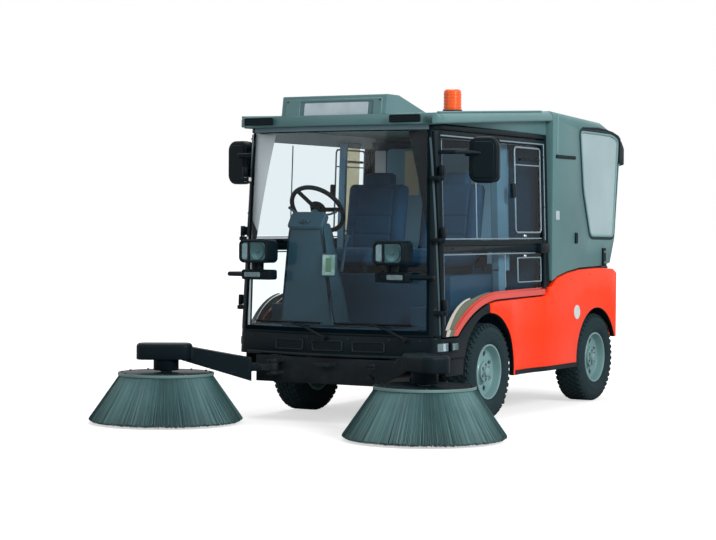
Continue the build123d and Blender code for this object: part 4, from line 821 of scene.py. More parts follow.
# ------------------------------------------------------------------ roof, light box and beacon
# The roof is one moulding with a raised light box, whose front is a blank pale panel
# in a frame. Dark work lamps sit in the brow, and the beacon stands on a ribbed foot.
box_front = seat((0, -0.9470, 1.8700), (1, 0, 0), (0, 0.158, 0.987))
made("light_box_frame", hood_green,
     (plate, rounded(0.66, 0.135, 0.012, (0, -0.012)), box_front, -0.006, 0.006, 0.003,
      rounded(0.50, 0.104, 0.010, (0.02, -0.012))))
sign_grey = finish("sign_grey", (84, 112, 120), 0.5, bump=0.03, specular=0.2)
made("light_box_backing", sign_grey, (plate, rounded(0.502, 0.106, 0.010, (0.02, -0.012)), box_front, -0.006, 0.0015))
sign_pale = finish("sign_pale", (176, 190, 196), 0.42, (160, 176, 184), cloud=9, bump=0.02, specular=0.3)
made("light_box_panel", sign_pale,
     (plate, rounded(0.436, 0.084, 0.008, (0.018, -0.010)), box_front, 0.0, 0.0035, 0.001))
nut_heads("light_box_screws",
          [(box_front @ Vector((x, y, 0.006)), (0, -0.987, 0.158)) for x in (-0.315, 0.315) for y in (-0.066, 0.042)],
          0.006, 0.005, 12, black_bolt)
for k, x in enumerate((-0.50, 0.50)):
    brow = seat((x, -0.985, 1.797), *FRONT)
    made(f"brow_lamp_well_{k}", satin_black,
         (plate, rounded(0.205, 0.046, 0.010), brow, -0.004, 0.004, 0.002, rounded(0.19, 0.032, 0.007)),
         (plate, rounded(0.192, 0.034, 0.007), brow, -0.004, 0.001))
    slats(f"brow_lamp_slats_{k}", 3, 0.010, (0.186, 0.004, 0.004), brow @ Matrix.Translation((0, 0, 0.0015)),
          skirt_black)
beacon_amber = finish("beacon_amber", (248, 92, 26), 0.2, bump=0.02, specular=0.3, Coat_Weight=0.2)
coat(beacon_amber, "beacon")
foot = Matrix.Translation((0.25, 0.10, 0))
made("beacon_foot", satin_black,
     (lathe, [(0.050, 1.884), (0.064, 1.884), (0.064, 1.902), (0.060, 1.908), (0.060, 1.914), (0.050, 1.916)], foot,
      40))
made("beacon_rings", beacon_amber, *(
    (lathe, [(0.050, z - 0.004), (0.0562, z - 0.004), (0.0572, z), (0.0562, z + 0.004), (0.050, z + 0.004)], foot, 48)
    for z in (1.926, 1.946, 1.966, 1.986, 2.006)))
made("roof_gutters", hood_green, *(
    (rod, [(hand * 0.672, y, 1.765 + 0.062 + (y + 0.985) * 0.056 + 0.001)
           for y in (-0.90 + 0.118 * k for k in range(13))], 0.006, 8) for _, hand in SIDES))


# ------------------------------------------------------------------ hopper trim
# A pale mesh screen is clamped in each side of the hopper by a rubber seal in a raised
# rim. Black trim covers the roof edge, and a latch and a tipping bracket are bolted on.
SCREEN = [(1.070, 1.817), (1.128, 1.421), (1.252, 1.109), (1.652, 1.104), (1.724, 1.781), (1.600, 1.812)]
seal_black = finish("seal_black", (24, 46, 50), 0.6, bump=0.08, grain=260, specular=0.2)
# This paler green serves the screens' raised rims, and also a painted highlight on the hopper's front edge.
rim_green = finish("rim_green", (112, 148, 149), 0.4, bump=0.02, specular=0.3)
for side, hand in SIDES:
    wall = flank(0.700, hand)
    around = softened(list(reversed(SCREEN)), 0.045)
    made(f"screen_seal_{side}", seal_black,
         (plate, on_flank(inset(around, -0.002), hand), wall, -0.009, 0.004, 0.002,
          on_flank(inset(around, 0.016), hand)), body="hopper", sharp=50)
    made(f"screen_rim_{side}", rim_green,
         (plate, on_flank(inset(around, -0.016), hand), wall, -0.002, 0.007, 0.003,
          on_flank(inset(around, -0.002), hand)), body="hopper", sharp=50)
    edge = [(1.110, 1.838), (1.360, 1.846), (1.500, 1.840), (1.620, 1.828), (1.725, 1.806), (1.762, 1.775),
            (1.762, 1.700), (1.752, 1.615)]
    within = [(1.110, 1.826), (1.360, 1.832), (1.500, 1.828), (1.610, 1.818), (1.712, 1.792), (1.742, 1.765),
              (1.742, 1.700), (1.736, 1.615)]
    made(f"hopper_trim_{side}", satin_black, (plate, on_flank(edge[::-1] + within, hand), wall, -0.002, 0.006, 0.002),
         patch(hand, wall, (0.306, 0.022, 0.006, (0.839, 1.630)), -0.002, 0.008, 0.002),
         patch(hand, wall, (0.036, 0.072, 0.008, (1.016, 1.102)), -0.002, 0.010, 0.003),
         patch(hand, wall, (0.050, 0.124, 0.006, (1.476, 0.972)), -0.001, 0.0135, 0.003), body="hopper")
    made(f"hopper_reflector_{side}", sign_pale,
         patch(hand, wall, (0.052, 0.058, 0.006, (0.722, 1.250)), -0.001, 0.003, 0.001), body="hopper")
    # The paler green strip down the hopper's front is a painted highlight on its rounded edge.
    made(f"hopper_front_line_{side}", rim_green,
         patch(hand, wall, (0.010, 0.26, 0.003, (0.712, 1.775)), -0.001, 0.003, 0.001), body="hopper")
    nut_heads(f"hopper_bolts_{side}",
              [(wall @ Vector((hand * y, z, 0.012)), (hand, 0, 0)) for y, z in ((1.476, 1.008), (1.476, 0.936))],
              0.010, 0.008, 6, zinc, body="hopper")
    nut_heads(f"screen_rivets_{side}",
              [(wall @ Vector((hand * p[0], p[1], 0.0065)), (hand, 0, 0)) for p in inset(around, -0.009)[2::5]],
              0.0035, 0.0025, 12, zinc, body="hopper")
    nut_heads(f"hopper_rivets_{side}",
              [(wall @ Vector((hand * y, z, 0.0005)), (hand, 0, 0))
               for y, z in [(0.676, 0.98 + 0.12 * k) for k in range(6)]], 0.006, 0.004, 12, hood_green, body="hopper")


# ------------------------------------------------------------------ side panel edging
# A grey strip down the edge before each door is a painted highlight on the pillar,
# and a corner lamp wraps round the skirt. A rubber lip finishes each wheel arch, and a
# black strip along the foot of the orange panels is painted shade where they turn under.
# A plain pale disc covers the filler behind the cab, and screws hold the panel's edges.
def meeting(node):
    """A search of a CAD node's surface, for trim that lies on it."""
    mesh = frame["nodes"][node].data
    return BVHTree.FromPolygons([v.co for v in mesh.vertices], [p.vertices for p in mesh.polygons])


def laid(form, tree, rows, hand, low, high):
    """A strip over rows of (Y, Z), lying on a side's surface as the search finds it."""
    layers = []
    for height in (low, high):
        layer = []
        for row in rows:
            line = []
            for y, z in row:
                hit = tree.ray_cast(Vector((hand * 2, y, z)), Vector((-hand, 0, 0)))[0]
                line.append(form.verts.new((hit.x + hand * height if hit else hand * 0.69, y, z)))
            layer.append(line)
        layers.append(layer)
    under, over = layers
    for r in range(len(rows) - 1):
        for c in range(len(rows[0]) - 1):
            for layer in layers:
                form.faces.new((layer[r][c], layer[r][c + 1], layer[r + 1][c + 1], layer[r + 1][c]))
    edge = [(r, 0) for r in range(len(rows))] + [(len(rows) - 1, c) for c in range(1, len(rows[0]))]
    edge += [(r, len(rows[0]) - 1) for r in range(len(rows) - 2, -1, -1)]
    edge += [(0, c) for c in range(len(rows[0]) - 2, 0, -1)]
    for (r, c), (r2, c2) in zip(edge, edge[1:] + edge[:1]):
        form.faces.new((under[r][c], under[r2][c2], over[r2][c2], over[r][c]))
    bmesh.ops.recalc_face_normals(form, faces=form.faces)


ARCHES, AXLE_Z, ARCH_LIP = ((-0.237, 0.355), (1.383, 0.335)), 0.295, 0.0075  # an arch is its middle's Y and radius
PILLAR_Y, HIGHLIGHT_SECTION = -0.8685, ((0, -0.001), (0, 0.0015), (0.006, 0.002), (0.012, 0.0015), (0.012, -0.001))
pale_disc = finish("pale_disc", (196, 206, 204), 0.42, (184, 196, 194), bump=0.03, specular=0.3)
# The grey strip down the edge before each door is a painted highlight on the pillar's edge.
bead_grey = finish("bead_grey", (58, 78, 84), 0.55, bump=0.03, specular=0.15)
for side, hand in SIDES:
    highlight_strip, shell, rings = bmesh.new(), meeting("cab_frame"), []
    for z in (0.545, 0.60, 0.65, 0.77, 0.86, 0.96, 1.06, 1.19, 1.30, 1.42, 1.55, 1.62, 1.69):
        foot, facing = shell.ray_cast(Vector((hand * 2, PILLAR_Y, z)), Vector((-hand, 0, 0)))[:2]
        along = Vector((facing.y, -facing.x, 0)).normalized()
        along *= -1 if along.y > 0 else 1
        rings.append([highlight_strip.verts.new(foot + along * by + facing * lift) for by, lift in HIGHLIGHT_SECTION])
    for one, two in zip(rings, rings[1:]):
        for k in range(5):
            highlight_strip.faces.new((one[k], one[(k + 1) % 5], two[(k + 1) % 5], two[k]))
    highlight_strip.faces.new(rings[0])
    highlight_strip.faces.new(rings[-1])
    bmesh.ops.recalc_face_normals(highlight_strip, faces=highlight_strip.faces)
    show(f"pillar_bead_{side}", highlight_strip, bead_grey)
    skirt_face = meeting("front_skirt")
    made(f"corner_lamp_wrap_{side}", lamp_grey,
         (laid, skirt_face, [[(-0.893 + 0.012 * k, z) for k in range(9)] for z in (0.451, 0.474, 0.497)], hand, -0.001,
          0.005), sharp=50)
    made(f"corner_lamp_bulb_{side}", lamp_white,
         (laid, skirt_face, [[(-0.862 + 0.009 * k, z) for k in range(4)] for z in (0.453, 0.474, 0.495)], hand, 0.004,
          0.0085), sharp=50)
    node = f"side_panel_{side}"
    panel = side_panels[side].data
    panel.materials.append(satin_black)
    for face in panel.polygons:
        for y, r in ARCHES:
            if abs(math.hypot(face.center.y - y, face.center.z - AXLE_Z) - r) < ARCH_LIP and abs(face.normal.x) < 0.85:
                face.material_index = 1
    search = meeting(node)
    # The black strip along the panel's foot is painted shade where the panel turns under.
    made(f"sill_strip_{side}", satin_black,
         (laid, search, [[(0.140 + 0.05 * k, z) for k in range(19)] for z in (0.2515, 0.268, 0.281)], hand, -0.002,
          0.0035), body=body_of(node), sharp=50)
    crest = [(0.700, 0.820), (0.734, 0.844), (0.892, 0.873), (1.090, 0.893), (1.428, 0.900), (1.600, 0.8935)]
    made(f"crest_seal_{side}", satin_black,
         (plate,
          on_flank([tuple(p) for p in beside(crest, -0.020)] + [tuple(p) for p in beside(crest, 0.0145)][::-1], hand),
          flank(0.668, hand), 0.0, 0.016, 0.002), body=body_of(node), sharp=50)
    hit = search.ray_cast(Vector((hand * 2, 1.043, 0.612)), Vector((-hand, 0, 0)))
    flat = seat(hit[0], Vector((0, hand, 0)), Vector((0, 0, 1)))
    made(f"filler_disc_{side}", pale_disc,
         (lathe,
          [(0, -0.004), (0.047, -0.004), (0.047, 0.0035), (0.044, 0.0055), (0.034, 0.0055), (0.032, 0.004),
           (0, 0.004)], flat, 48), body=body_of(node))
    heads = []
    for y, z in ((1.55, 0.83), (1.25, 0.86), (0.95, 0.83), (0.72, 0.76), (0.30, 0.66), (0.09, 0.62)):
        hit = search.ray_cast(Vector((hand * 2, y, z)), Vector((-hand, 0, 0)))
        if hit[0]:
            heads.append((hit[0] + Vector((hand * 0.0005, 0, 0)), (hand, 0, 0)))
    nut_heads(f"panel_screws_{side}", heads, 0.0065, 0.004, 12, body_orange, body=body_of(node))


# ------------------------------------------------------------------ rear
# The rear panel carries a blank number plate in a black frame under two plate lamps,
# a louvred grille for the engine and round reflectors.
plate_face = seat((0, 1.728, 0.780), *REAR)
made("plate_frame", satin_black,
     (plate, rounded(0.530, 0.122, 0.010), plate_face, -0.001, 0.006, 0.002, rounded(0.506, 0.100, 0.007)),
     (plate, rounded(0.09, 0.026, 0.006, (0, 0.072)), plate_face, -0.004, 0.022, 0.004))
made("plate_blank", sign_pale, (plate, rounded(0.508, 0.102, 0.007), plate_face, -0.001, 0.0022, 0.0006))
grille_face = seat((0, 1.722, 0.575), *REAR)
made("rear_grille_frame", satin_black,
     (plate, rounded(0.60, 0.200, 0.020), grille_face, -0.002, 0.008, 0.003, rounded(0.57, 0.170, 0.012)),
     (plate, rounded(0.572, 0.172, 0.012), grille_face, -0.002, 0.001))
slats("rear_grille_slats", 11, 0.0152, (0.566, 0.009, 0.008), grille_face @ Matrix.Translation((0, 0, 0.004)),
      skirt_black)
made("rear_reflectors", lamp_red, *(
    (lathe, [(0, -0.001), (0.026, -0.001), (0.026, 0.005), (0.022, 0.008), (0, 0.009)],
     seat((0.40 * hand, 1.722, 0.47), *REAR), 36) for _, hand in SIDES))


# ------------------------------------------------------------------ wheels
# Truck tyres on pressed steel rims. The tread blocks are moulded in rows, with
# open shoulders, and each rim is held on its hub by six nuts and a plain cap.
tyre_rubber = finish("tyre_rubber", (30, 48, 53), 0.75, bump=0.2, grain=90, dust=0.1, dust_top=0.6, specular=0.1)
rim_silver = finish("rim_silver", (126, 160, 160), 0.38, (112, 146, 148), metallic=0.2, dust=0.1, dust_top=0.6,
                    bump=0.03, specular=0.3)
BEAD_R = 0.168
TREAD_ROWS = (  # place across, radius at its foot, width, length, height, tilt, half a pitch on
    (-0.059, 0.284, 0.026, 0.030, 0.0095, 0, 0), (-0.030, 0.285, 0.024, 0.027, 0.0090, 0, 1),
    (0.0, 0.285, 0.024, 0.027, 0.0090, 0, 0), (0.030, 0.285, 0.024, 0.027, 0.0090, 0, 1),
    (0.059, 0.284, 0.026, 0.030, 0.0095, 0, 0),
    (-0.0815, 0.2765, 0.020, 0.024, 0.009, -42, 1), (0.0815, 0.2765, 0.020, 0.024, 0.009, 42, 1),
)
tread_sizes = {"Blocks round": 44, "Finish": tyre_rubber}
tread_tree, tread_in = tree_of("tyre_tread", tread_sizes)
tread_rows = add(tread_tree, "GeometryNodeJoinGeometry")
for across, foot_r, width, length, height, tilt, later in TREAD_ROWS:
    ring = op(tread_tree, "GeometryNodeMeshCircle",
              {"Vertices": tread_in["Blocks round"], "Radius": foot_r + height / 2})
    stand = op(tread_tree, "FunctionNodeAlignRotationToVector",
               {"Vector": op(tread_tree, "GeometryNodeInputPosition")}, axis="Z")
    aim = op(tread_tree, "FunctionNodeAlignRotationToVector", {"Rotation": stand, "Vector": (0, 0, 1)}, axis="X",
             pivot_axis="Z")
    lean = op(tread_tree, "FunctionNodeRotateRotation", {"Rotation": aim, "Rotate By": (0, math.radians(tilt), 0)},
              rotation_space="LOCAL")
    lug = narrowed(tread_tree, op(tread_tree, "GeometryNodeMeshCube", {"Size": (width, length, height)}),
                   (0.84, 0.84, 1))
    row = op(tread_tree, "GeometryNodeInstanceOnPoints", {"Points": ring, "Instance": lug, "Rotation": lean})
    shift = op(tread_tree, "GeometryNodeTransform",
               {"Geometry": row, "Translation": (0, 0, across),
                "Rotation": (0, 0, later * math.pi / tread_sizes["Blocks round"])})
    tread_tree.links.new(shift, tread_rows.inputs[0])
completed(tread_tree, tread_rows.outputs[0], tread_in["Finish"])
tread_mesh = grown(tread_tree, tread_sizes)

half_section = ((BEAD_R, 0.0775), (0.176, 0.0850), (0.186, 0.0915), (0.200, 0.0955), (0.214, 0.0972), (0.222, 0.0972),
                (0.2235, 0.0958), (0.236, 0.0955), (0.2375, 0.0970), (0.246, 0.0962), (0.258, 0.0925), (0.270, 0.0860),
                (0.2810, 0.0770), (0.2865, 0.0660), (0.2885, 0.0450))
carcass_section = list(half_section) + [(r, -x) for r, x in reversed(half_section)]


NUT_RING_R, NUT_FACE = 0.046, 0.060
for axle in ("front", "rear"):
    for side, hand in SIDES:
        low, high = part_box(f"tyre_{axle}_{side}")
        middle = (low + high) / 2
        hub = seat(middle, (0, 1, 0), (0, 0, 1))
        form = bmesh.new()
        lathe(form, carcass_section, hub, 96)
        tread = tread_mesh.copy()
        tread.transform(hub)
        form.from_mesh(tread)
        name = f"wheel_{axle}_{side}"
        show(f"{name}_tyre", form, tyre_rubber, body=body_of(f"tyre_{axle}_{side}"), replaces=[f"tyre_{axle}_{side}"],
             sharp=30)
        eased(f"rim_{axle}_{side}", 0.0018, rim_silver)
        outer = seat(middle + Vector((hand * NUT_FACE, 0, 0)), (0, hand, 0), (0, 0, 1))
        ring = [(outer @ Vector((NUT_RING_R * math.cos(a), NUT_RING_R * math.sin(a), 0.004)), (hand, 0, 0))
                for a in (math.radians(60 * k + 30) for k in range(6))]
        nut_heads(f"{name}_nuts", ring, 0.0095, 0.013, 6, zinc, body=body_of(f"rim_{axle}_{side}"))
        made(f"{name}_cap", rim_silver,
             (lathe, [(0, -0.002), (0.031, -0.002), (0.031, 0.008), (0.027, 0.016), (0.012, 0.0205), (0, 0.021)],
              outer, 40), body=body_of(f"rim_{axle}_{side}"))


# ------------------------------------------------------------------ side brushes
# Round gutter brushes: stiff green plastic tines set in a drilled disc, splayed
# into a skirt. The disc is bolted under a hydraulic motor on the arm's end.
def tine_material():
    """Each tine has its own shade, paler at its foot and dusty at its tip."""
    material = finish("tine_green", (86, 120, 121), 0.6, (76, 108, 111), cloud=4, bump=0.0, dust=0.3,
                      dust_top=0.1, specular=0.2)
    tree = material.node_tree
    shader = tree.nodes["Principled BSDF"]
    own = add(tree, "ShaderNodeAttribute", attribute_name="tine").outputs["Fac"]
    before = shader.inputs["Base Color"].links[0].from_socket
    dark = span(tree, own, 0.0, 1.0, 0.55, 1.15)
    toned = op(tree, "ShaderNodeVectorMath", {0: before, "Scale": dark}, operation="SCALE")
    tree.links.new(toned, shader.inputs["Base Color"])
    return material


tine_green = tine_material()
BRUSH_TOP, BRUSH_FOOT, BRUSH_R = 0.283, 0.008, 0.4545
tine_sizes = {"Tines": 1150, "Thickness": 0.0021, "Finish": tine_green}
tine_tree, tine_in = tree_of("brush_tines", tine_sizes)
tine_rings = add(tine_tree, "GeometryNodeJoinGeometry")
for ring_number, (top_r, foot_r, foot_z) in enumerate(((0.276, BRUSH_R, BRUSH_FOOT + 0.012),
                                                       (0.262, 0.442, BRUSH_FOOT + 0.004),
                                                       (0.246, 0.424, BRUSH_FOOT))):
    drop, splay = BRUSH_TOP - foot_z, foot_r - top_r
    long = math.hypot(drop, splay)
    ring = op(tine_tree, "GeometryNodeMeshCircle", {"Vertices": tine_in["Tines"], "Radius": top_r})
    tine = op(tine_tree, "GeometryNodeMeshCylinder",
               {"Vertices": 3, "Side Segments": 1, "Radius": tine_in["Thickness"], "Depth": long})
    hung = op(tine_tree, "GeometryNodeTransform", {"Geometry": tine, "Translation": (0, 0, long / 2)})
    spot = op(tine_tree, "GeometryNodeInputPosition")
    outward = op(tine_tree, "ShaderNodeVectorMath", {0: spot}, operation="NORMALIZE")
    reach = op(tine_tree, "ShaderNodeVectorMath", {0: outward, "Scale": splay}, operation="SCALE")
    stray = op(tine_tree, "FunctionNodeRandomValue",
               {0: (-0.004, -0.004, -0.002), 1: (0.004, 0.004, 0.003), "Seed": 11 + ring_number},
               data_type="FLOAT_VECTOR")
    fall = op(tine_tree, "ShaderNodeVectorMath", {0: reach, 1: (0, 0, -drop)}, operation="ADD")
    way = op(tine_tree, "ShaderNodeVectorMath", {0: fall, 1: stray}, operation="ADD")
    turn = op(tine_tree, "FunctionNodeAlignRotationToVector", {"Vector": way}, axis="Z")
    length = add(tine_tree, "FunctionNodeRandomValue", {2: 0.965, 3: 1.0, "Seed": 5 + ring_number},
                 data_type="FLOAT").outputs[1]
    size = op(tine_tree, "ShaderNodeCombineXYZ", {0: 1.0, 1: 1.0, 2: length})
    tines = op(tine_tree, "GeometryNodeInstanceOnPoints",
               {"Points": ring, "Instance": hung, "Rotation": turn, "Scale": size})
    own = add(tine_tree, "FunctionNodeRandomValue", {2: 0.0, 3: 1.0, "Seed": 23 + ring_number},
              data_type="FLOAT").outputs[1]
    named = op(tine_tree, "GeometryNodeStoreNamedAttribute",
               {"Geometry": tines, "Name": "tine", "Value": own}, data_type="FLOAT", domain="INSTANCE")
    tine_tree.links.new(named, tine_rings.inputs[0])
completed(tine_tree, tine_rings.outputs[0], tine_in["Finish"])
tine_mesh = grown(tine_tree, tine_sizes)
tine_mesh.transform(Matrix.Translation((0, 0, BRUSH_TOP)))

disc_green = finish("disc_green", (96, 128, 126), 0.45, bump=0.05, dust=0.15, dust_top=0.8, specular=0.3)
for side, hand in SIDES:
    low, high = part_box(f"brush_bristles_{side}")
    hub = Matrix.Translation(((low.x + high.x) / 2, (low.y + high.y) / 2, 0))
    form = bmesh.new()
    lathe(form, [(0.236, 0.282), (0.270, 0.282), (0.440, 0.034), (0.432, 0.022), (0.330, 0.022), (0.205, 0.270)], hub,
          96)
    skirt = tine_mesh.copy()
    skirt.transform(hub)
    form.from_mesh(skirt)
    show(f"brush_{side}_tines", form, tine_green, body=body_of(f"brush_bristles_{side}"),
         replaces=[f"brush_bristles_{side}"], sharp=50)
    disc = eased(f"brush_disc_{side}", 0.002, disc_green).data
    disc.materials.append(satin_black)
    for face in disc.polygons:
        if face.normal.z > 0.9 and math.hypot(*(face.center.xy - hub.translation.xy)) < 0.24:
            face.material_index = 1
    ring = [(hub @ Vector((0.262 * math.cos(a), 0.262 * math.sin(a), 0.302)), (0, 0, 1))
            for a in (math.radians(30 * k) for k in range(12))]
    nut_heads(f"brush_{side}_bolts", ring, 0.008, 0.007, 6, black_bolt, body=body_of(f"brush_disc_{side}"))
    eased(f"brush_arm_{side}", 0.004, satin_black)


# ------------------------------------------------------------------ cab inside
# Two seats of foam under woven cloth, with channels sewn in, stand on black boxes.
# The console is a moulded pod with a blank label, a wheel, levers and two pedals.
# The back wall and the roof's rails are lined with flat board.
seat_cloth = finish("seat_cloth", (34, 72, 98), 0.88, (28, 62, 88), cloud=7, bump=0.0, specular=0.1, Sheen_Weight=0.05)
weave_tree = seat_cloth.node_tree
weave_place = add(weave_tree, "ShaderNodeTexCoord").outputs["Object"]
threads = [add(weave_tree, "ShaderNodeTexWave",
               {"Vector": weave_place, "Scale": 160.0, "Distortion": 0.6, "Detail": 1.0},
               bands_direction=way).outputs["Fac"] for way in ("X", "Z")]
weave = op(weave_tree, "ShaderNodeMath", {0: threads[0], 1: threads[1]}, operation="MULTIPLY")
weave_bump = op(weave_tree, "ShaderNodeBump", {"Strength": 0.12, "Distance": 0.0008, "Height": weave})
weave_tree.links.new(weave_bump, weave_tree.nodes["Principled BSDF"].inputs["Normal"])


SEAT_X, SWELL, GROOVE_DEEP, GROOVE_HALF = 0.270, 0.007, 0.007, 0.007


def cushion(name, size, place, crown, grooves):
    """A sewn cushion: a round-edged block that cloth simulation swells, with its channels pressed in after it."""
    wide, long, deep = size
    form = bmesh.new()
    bmesh.ops.create_cube(form, size=1)
    bmesh.ops.subdivide_edges(form, edges=form.edges, cuts=11, use_grid_fill=True)
    corner = 0.42 * deep
    for v in form.verts:
        half = Vector((wide / 2, long / 2, deep / 2))
        spot = Vector((v.co.x * wide, v.co.y * long, v.co.z * deep))
        core = Vector([max(-h + corner, min(h - corner, c)) for c, h in zip(spot, half)])
        out = spot - core
        spot = core + (out.normalized() * corner if out.length > 1e-6 else out)
        rise = (1 - (2 * spot.x / wide) ** 2) * (1 - (2 * spot.y / long) ** 2)
        spot.z += crown * rise * (1 if spot.z > 0 else -0.2)
        pull = 1 - 0.02 * (1 - min(1, abs(spot.z) / half.z))
        v.co = Vector((spot.x * pull, spot.y * pull, spot.z))
    mesh = bpy.data.meshes.new(name)
    form.to_mesh(mesh)
    form.free()
    pad = bpy.data.objects.new(name, mesh)
    bpy.context.scene.collection.objects.link(pad)
    grid = pad.modifiers.new("grid", "REMESH")
    grid.mode, grid.voxel_size = "VOXEL", 0.006
    mesh = bpy.data.meshes.new_from_object(pad.evaluated_get(bpy.context.evaluated_depsgraph_get()))
    pad.modifiers.clear()
    pad.data = mesh
    before = [v.co.copy() for v in mesh.vertices]
    air = pad.modifiers.new("air", "CLOTH")
    air.settings.use_pressure = True
    air.settings.uniform_pressure_force = 4
    air.settings.effector_weights.gravity = 0
    air.settings.quality = 4
    scene = bpy.context.scene
    for step in range(1, 21):
        scene.frame_set(step)
    blown = bpy.data.meshes.new_from_object(pad.evaluated_get(bpy.context.evaluated_depsgraph_get()))
    pad.modifiers.clear()
    for v, old, new in zip(mesh.vertices, before, blown.vertices):
        move = new.co - old
        v.co = old + move * min(1.0, SWELL / max(move.length, 1e-6))
    scene.frame_set(1)
    for v in mesh.vertices:
        for axis, at, reach in grooves:
            if v.co.z > 0 and abs(v.co[1 - axis]) < reach:
                v.co.z -= GROOVE_DEEP * math.exp(-((v.co[axis] - at) / GROOVE_HALF) ** 2)
    fine = pad.modifiers.new("fine", "SUBSURF")
    fine.levels = fine.render_levels = 1
    mesh = bpy.data.meshes.new_from_object(pad.evaluated_get(bpy.context.evaluated_depsgraph_get()))
    bpy.data.objects.remove(pad)
    mesh.transform(place)
    mesh.materials.clear()
    return mesh


tilt = Matrix.Rotation(math.radians(-9), 4, "X")
upright = tilt @ Matrix.Rotation(math.radians(90), 4, "X")
SEAT_PARTS = (  # name, size across, long and deep, place, crown, channels as (axis, place, half length)
    ("cushion", (0.436, 0.476, 0.088), Matrix.Translation((0, -0.185, 0.978)), 0.010,
     ((0, -0.135, 0.22), (0, 0.135, 0.22), (1, -0.06, 0.13), (1, 0.06, 0.13))),
    ("back", (0.436, 0.484, 0.086), Matrix.Translation((0, 0.060, 1.210)) @ upright, 0.010,
     ((0, -0.135, 0.22), (0, 0.135, 0.22), (1, -0.10, 0.13), (1, 0.02, 0.13))),
    ("headrest", (0.218, 0.112, 0.064), Matrix.Translation((0, 0.105, 1.460)) @ upright, 0.006, ()),
)
for part, size, place, crown, grooves in SEAT_PARTS:
    pad_mesh = cushion(f"seat_{part}", size, place, crown, grooves)
    for side, hand in SIDES:
        one = pad_mesh.copy()
        one.transform(Matrix.Translation((SEAT_X * hand, 0, 0)))
        piece = show(f"seat_{part}_{side}", one, seat_cloth, "truck_body", "seat_fabric", ["seats"], sharp=180)
dash_plastic = finish("dash_plastic", (46, 80, 94), 0.6, (36, 68, 82), bump=0.04, specular=0.2)
for side, hand in SIDES:
    x = SEAT_X * hand
    under = bmesh.new()
    plate(under, rounded(0.35, 0.40, 0.03, (x, -0.18)), Matrix.Identity(4), 0.881, 0.932, 0.004)
    for bar in (-0.07, 0.07):
        rod(under, [(x + bar, 0.075, 1.40), (x + bar, 0.098, 1.475)], 0.007, 8)
    rod(under, [(x + 0.245, 0.02, 0.90), (x + 0.245, -0.02, 1.00)], 0.010, 8)
    plate(under, rounded(0.036, 0.07, 0.008), seat((x + 0.245, -0.025, 1.03), (1, 0, 0), (0, -0.3, 1)), -0.009, 0.009,
          0.003)
    for wing in (-0.225, 0.225):
        plate(under, softened([(-0.05, 0.915), (0.10, 0.915), (0.115, 1.06), (0.06, 1.06), (-0.03, 0.96)], 0.012),
              seat((x + wing - 0.005, 0, 0), (0, 1, 0), (0, 0, 1)), 0.0, 0.010, 0.003)
    show(f"seat_frame_{side}", under, satin_black)
eased("console", 0.016, dash_plastic, 3)
coat(satin_black, "steering_wheel")
hub_out = Vector((0, math.sin(math.radians(50)), math.cos(math.radians(50))))
hub_place = seat((-0.262, -0.690, 1.275), (1, 0, 0), hub_out.cross(Vector((1, 0, 0))))
made("steering_boss", satin_black,
     (lathe, [(0, 0.004), (0.052, 0.004), (0.054, 0.010), (0.046, 0.019), (0.022, 0.023), (0, 0.0235)], hub_place, 40),
     body="steering_wheel")
binnacle = seat((-0.262, -0.800, 1.200), (1, 0, 0), (0, 0.55, 0.83))
LEVERS = (  # two stalks, the brush lever and the tipping lever: points, radii, sides
    (((-0.262, -0.745, 1.225), (-0.40, -0.715, 1.255), (-0.455, -0.705, 1.285)), (0.007, 0.006, 0.010), 8),
    (((-0.262, -0.745, 1.225), (-0.15, -0.72, 1.245), (-0.115, -0.715, 1.26)), (0.007, 0.006, 0.010), 8),
    (((-0.075, -0.72, 0.90), (-0.050, -0.70, 1.08), (-0.048, -0.69, 1.12)), (0.012, 0.009, 0.019), 10),
    (((0.0, -0.16, 0.60), (0.0, -0.20, 0.98), (0.0, -0.205, 1.03)), (0.012, 0.009, 0.020), 10))
pedals = []
for x, wide in ((-0.385, 0.075), (-0.105, 0.060)):
    pedals += [(plate, rounded(wide, 0.12, 0.012), seat((x, -0.66, 0.650), (1, 0, 0), (0, -0.55, 0.83)), 0.0, 0.014,
                0.004), (rod, [(x, -0.67, 0.650), (x, -0.74, 0.700)], 0.009, 8)]
made("console_pod", dash_plastic, (plate, rounded(0.25, 0.12, 0.03), binnacle, -0.016, 0.024, 0.010),
     *((rod, *lever) for lever in LEVERS), *pedals)
label_face = seat((-0.078, -0.862, 0.940), (1, 0, 0), (0, 0.06, 1))
made("console_label_board", dash_plastic, (plate, rounded(0.098, 0.138, 0.008), label_face, -0.012, 0.0, 0.002))
label_green = finish("label_green", (98, 138, 112), 0.5, cloud=20, bump=0.02, specular=0.2)
label_pale = finish("label_pale", (168, 202, 196), 0.5, (120, 160, 150), cloud=18, bump=0.02, specular=0.3)
made("console_label", label_pale, (plate, rounded(0.086, 0.122, 0.005), label_face, 0.0, 0.0012, 0.0004))
made("console_label_middle", label_green, (plate, rounded(0.040, 0.084, 0.004), label_face, 0.001, 0.0020, 0.0004))
mat_rubber = finish("mat_rubber", (14, 30, 38), 0.8, bump=0.15, grain=200, specular=0.15)
slats("floor_mat_ribs", 13, 0.020, (0.80, 0.010, 0.004), Matrix.Translation((0, -0.735, 0.5815)), mat_rubber)
lining_blue = finish("lining_blue", (126, 168, 192), 0.7, bump=0.05, grain=120, specular=0.12)
lining_cream = finish("lining_cream", (214, 208, 184), 0.6, bump=0.03, specular=0.15)
back_wall = seat((0, 0.5955, 0), (1, 0, 0), (0, 0, 1))
made("rear_wall_lining", lining_blue,
     (plate, rounded(0.90, 0.76, 0.03, (-0.045, 1.31)), back_wall, -0.001, 0.006, 0.003))
made("rear_wall_board", lining_cream,
     (plate, rounded(0.105, 0.295, 0.008, (-0.303, 1.527)), back_wall, 0.005, 0.010, 0.002))
made("rear_corner_board", lining_pale,
     (plate, rounded(0.085, 0.60, 0.010, (-0.545, 1.38)), back_wall, -0.001, 0.006, 0.002))
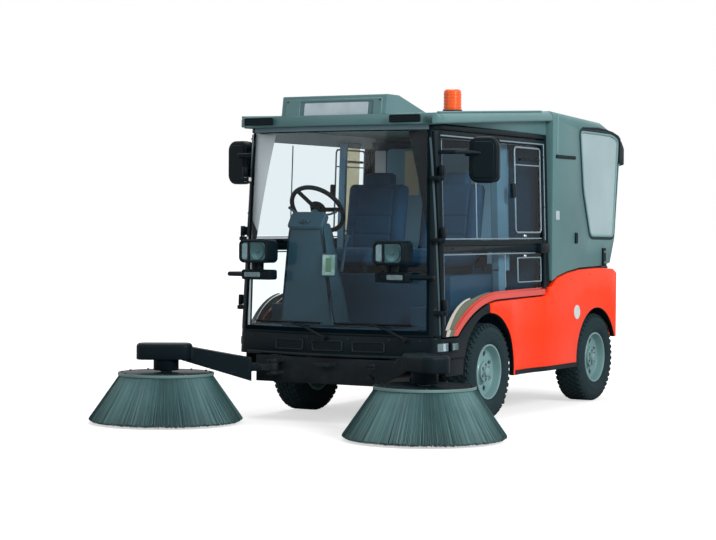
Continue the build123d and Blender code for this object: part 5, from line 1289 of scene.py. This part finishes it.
# A post stands behind each door on the wheel house; the passenger's holds a rigid ribbed pane of tinted plastic.
pane_cream, tree = blank_material("pane_cream")
ribs = add(tree, "ShaderNodeTexWave",
           {"Vector": add(tree, "ShaderNodeTexCoord").outputs["Object"], "Scale": 90.0, "Distortion": 0.4},
           bands_direction="Z").outputs["Fac"]
milk = op(tree, "ShaderNodeBsdfDiffuse", {"Color": shade(226, 220, 196)})
tint = op(tree, "ShaderNodeBsdfTransparent", {"Color": (0.86, 0.82, 0.68, 1)})
mixed = op(tree, "ShaderNodeMixShader", {0: span(tree, ribs, 0, 1, 0.26, 0.29), 1: tint, 2: milk})
add(tree, "ShaderNodeOutputMaterial", {"Surface": mixed})
# The left post's blue is the lining blue made darker: painted shade for the post that stands in more light by the door
# glass.
post_blue = finish("post_blue", (84, 120, 140), 0.7, bump=0.05, grain=120, specular=0.12)
for (side, hand), y0, y1, thick, paint in zip(SIDES, (0.055, 0.115), (0.210, 0.315), (0.155, 0.024),
                                              (post_blue, lining_blue)):
    inner = seat((0.5855 * hand, 0, 0), (0, -hand, 0), (-0.0306 * hand, 0, 1))
    post = bmesh.new()
    plate(post, on_flank([(y0, 0.90), (y0 + thick, 0.90), (y0 + thick, 1.705), (y0, 1.705)], -hand), inner, -0.046,
          0.002, 0.005)
    plate(post, on_flank([(y0, 0.69), (0.145, 0.69), (0.145, 0.91), (y0, 0.91)], -hand), inner, -0.044, 0.000, 0.004)
    if y1 > y0 + thick:
        made(f"draught_pane_{side}", pane_cream,
             (plate, on_flank([(y0 + 0.020, 1.075), (y1, 1.075), (y1, 1.705), (y0 + 0.020, 1.705)], -hand), inner,
              -0.012, -0.010), sharp=180)
        rod(post, [inner @ Vector((-hand * (y0 + 0.024), 1.708, -0.011)), inner @ Vector((-hand * y1, 1.708, -0.011))],
            0.012, 12)
    show(f"cab_post_{side}", post, paint)
    made(f"rail_lining_{side}", lining_pale,
         (plate, on_flank([(-0.80, 1.690), (0.58, 1.690), (0.58, 1.790), (-0.80, 1.760)], -hand),
          seat((0.600 * hand, 0, 0), (0, -hand, 0), (0, 0, 1)), -0.004, 0.0, 0.001))
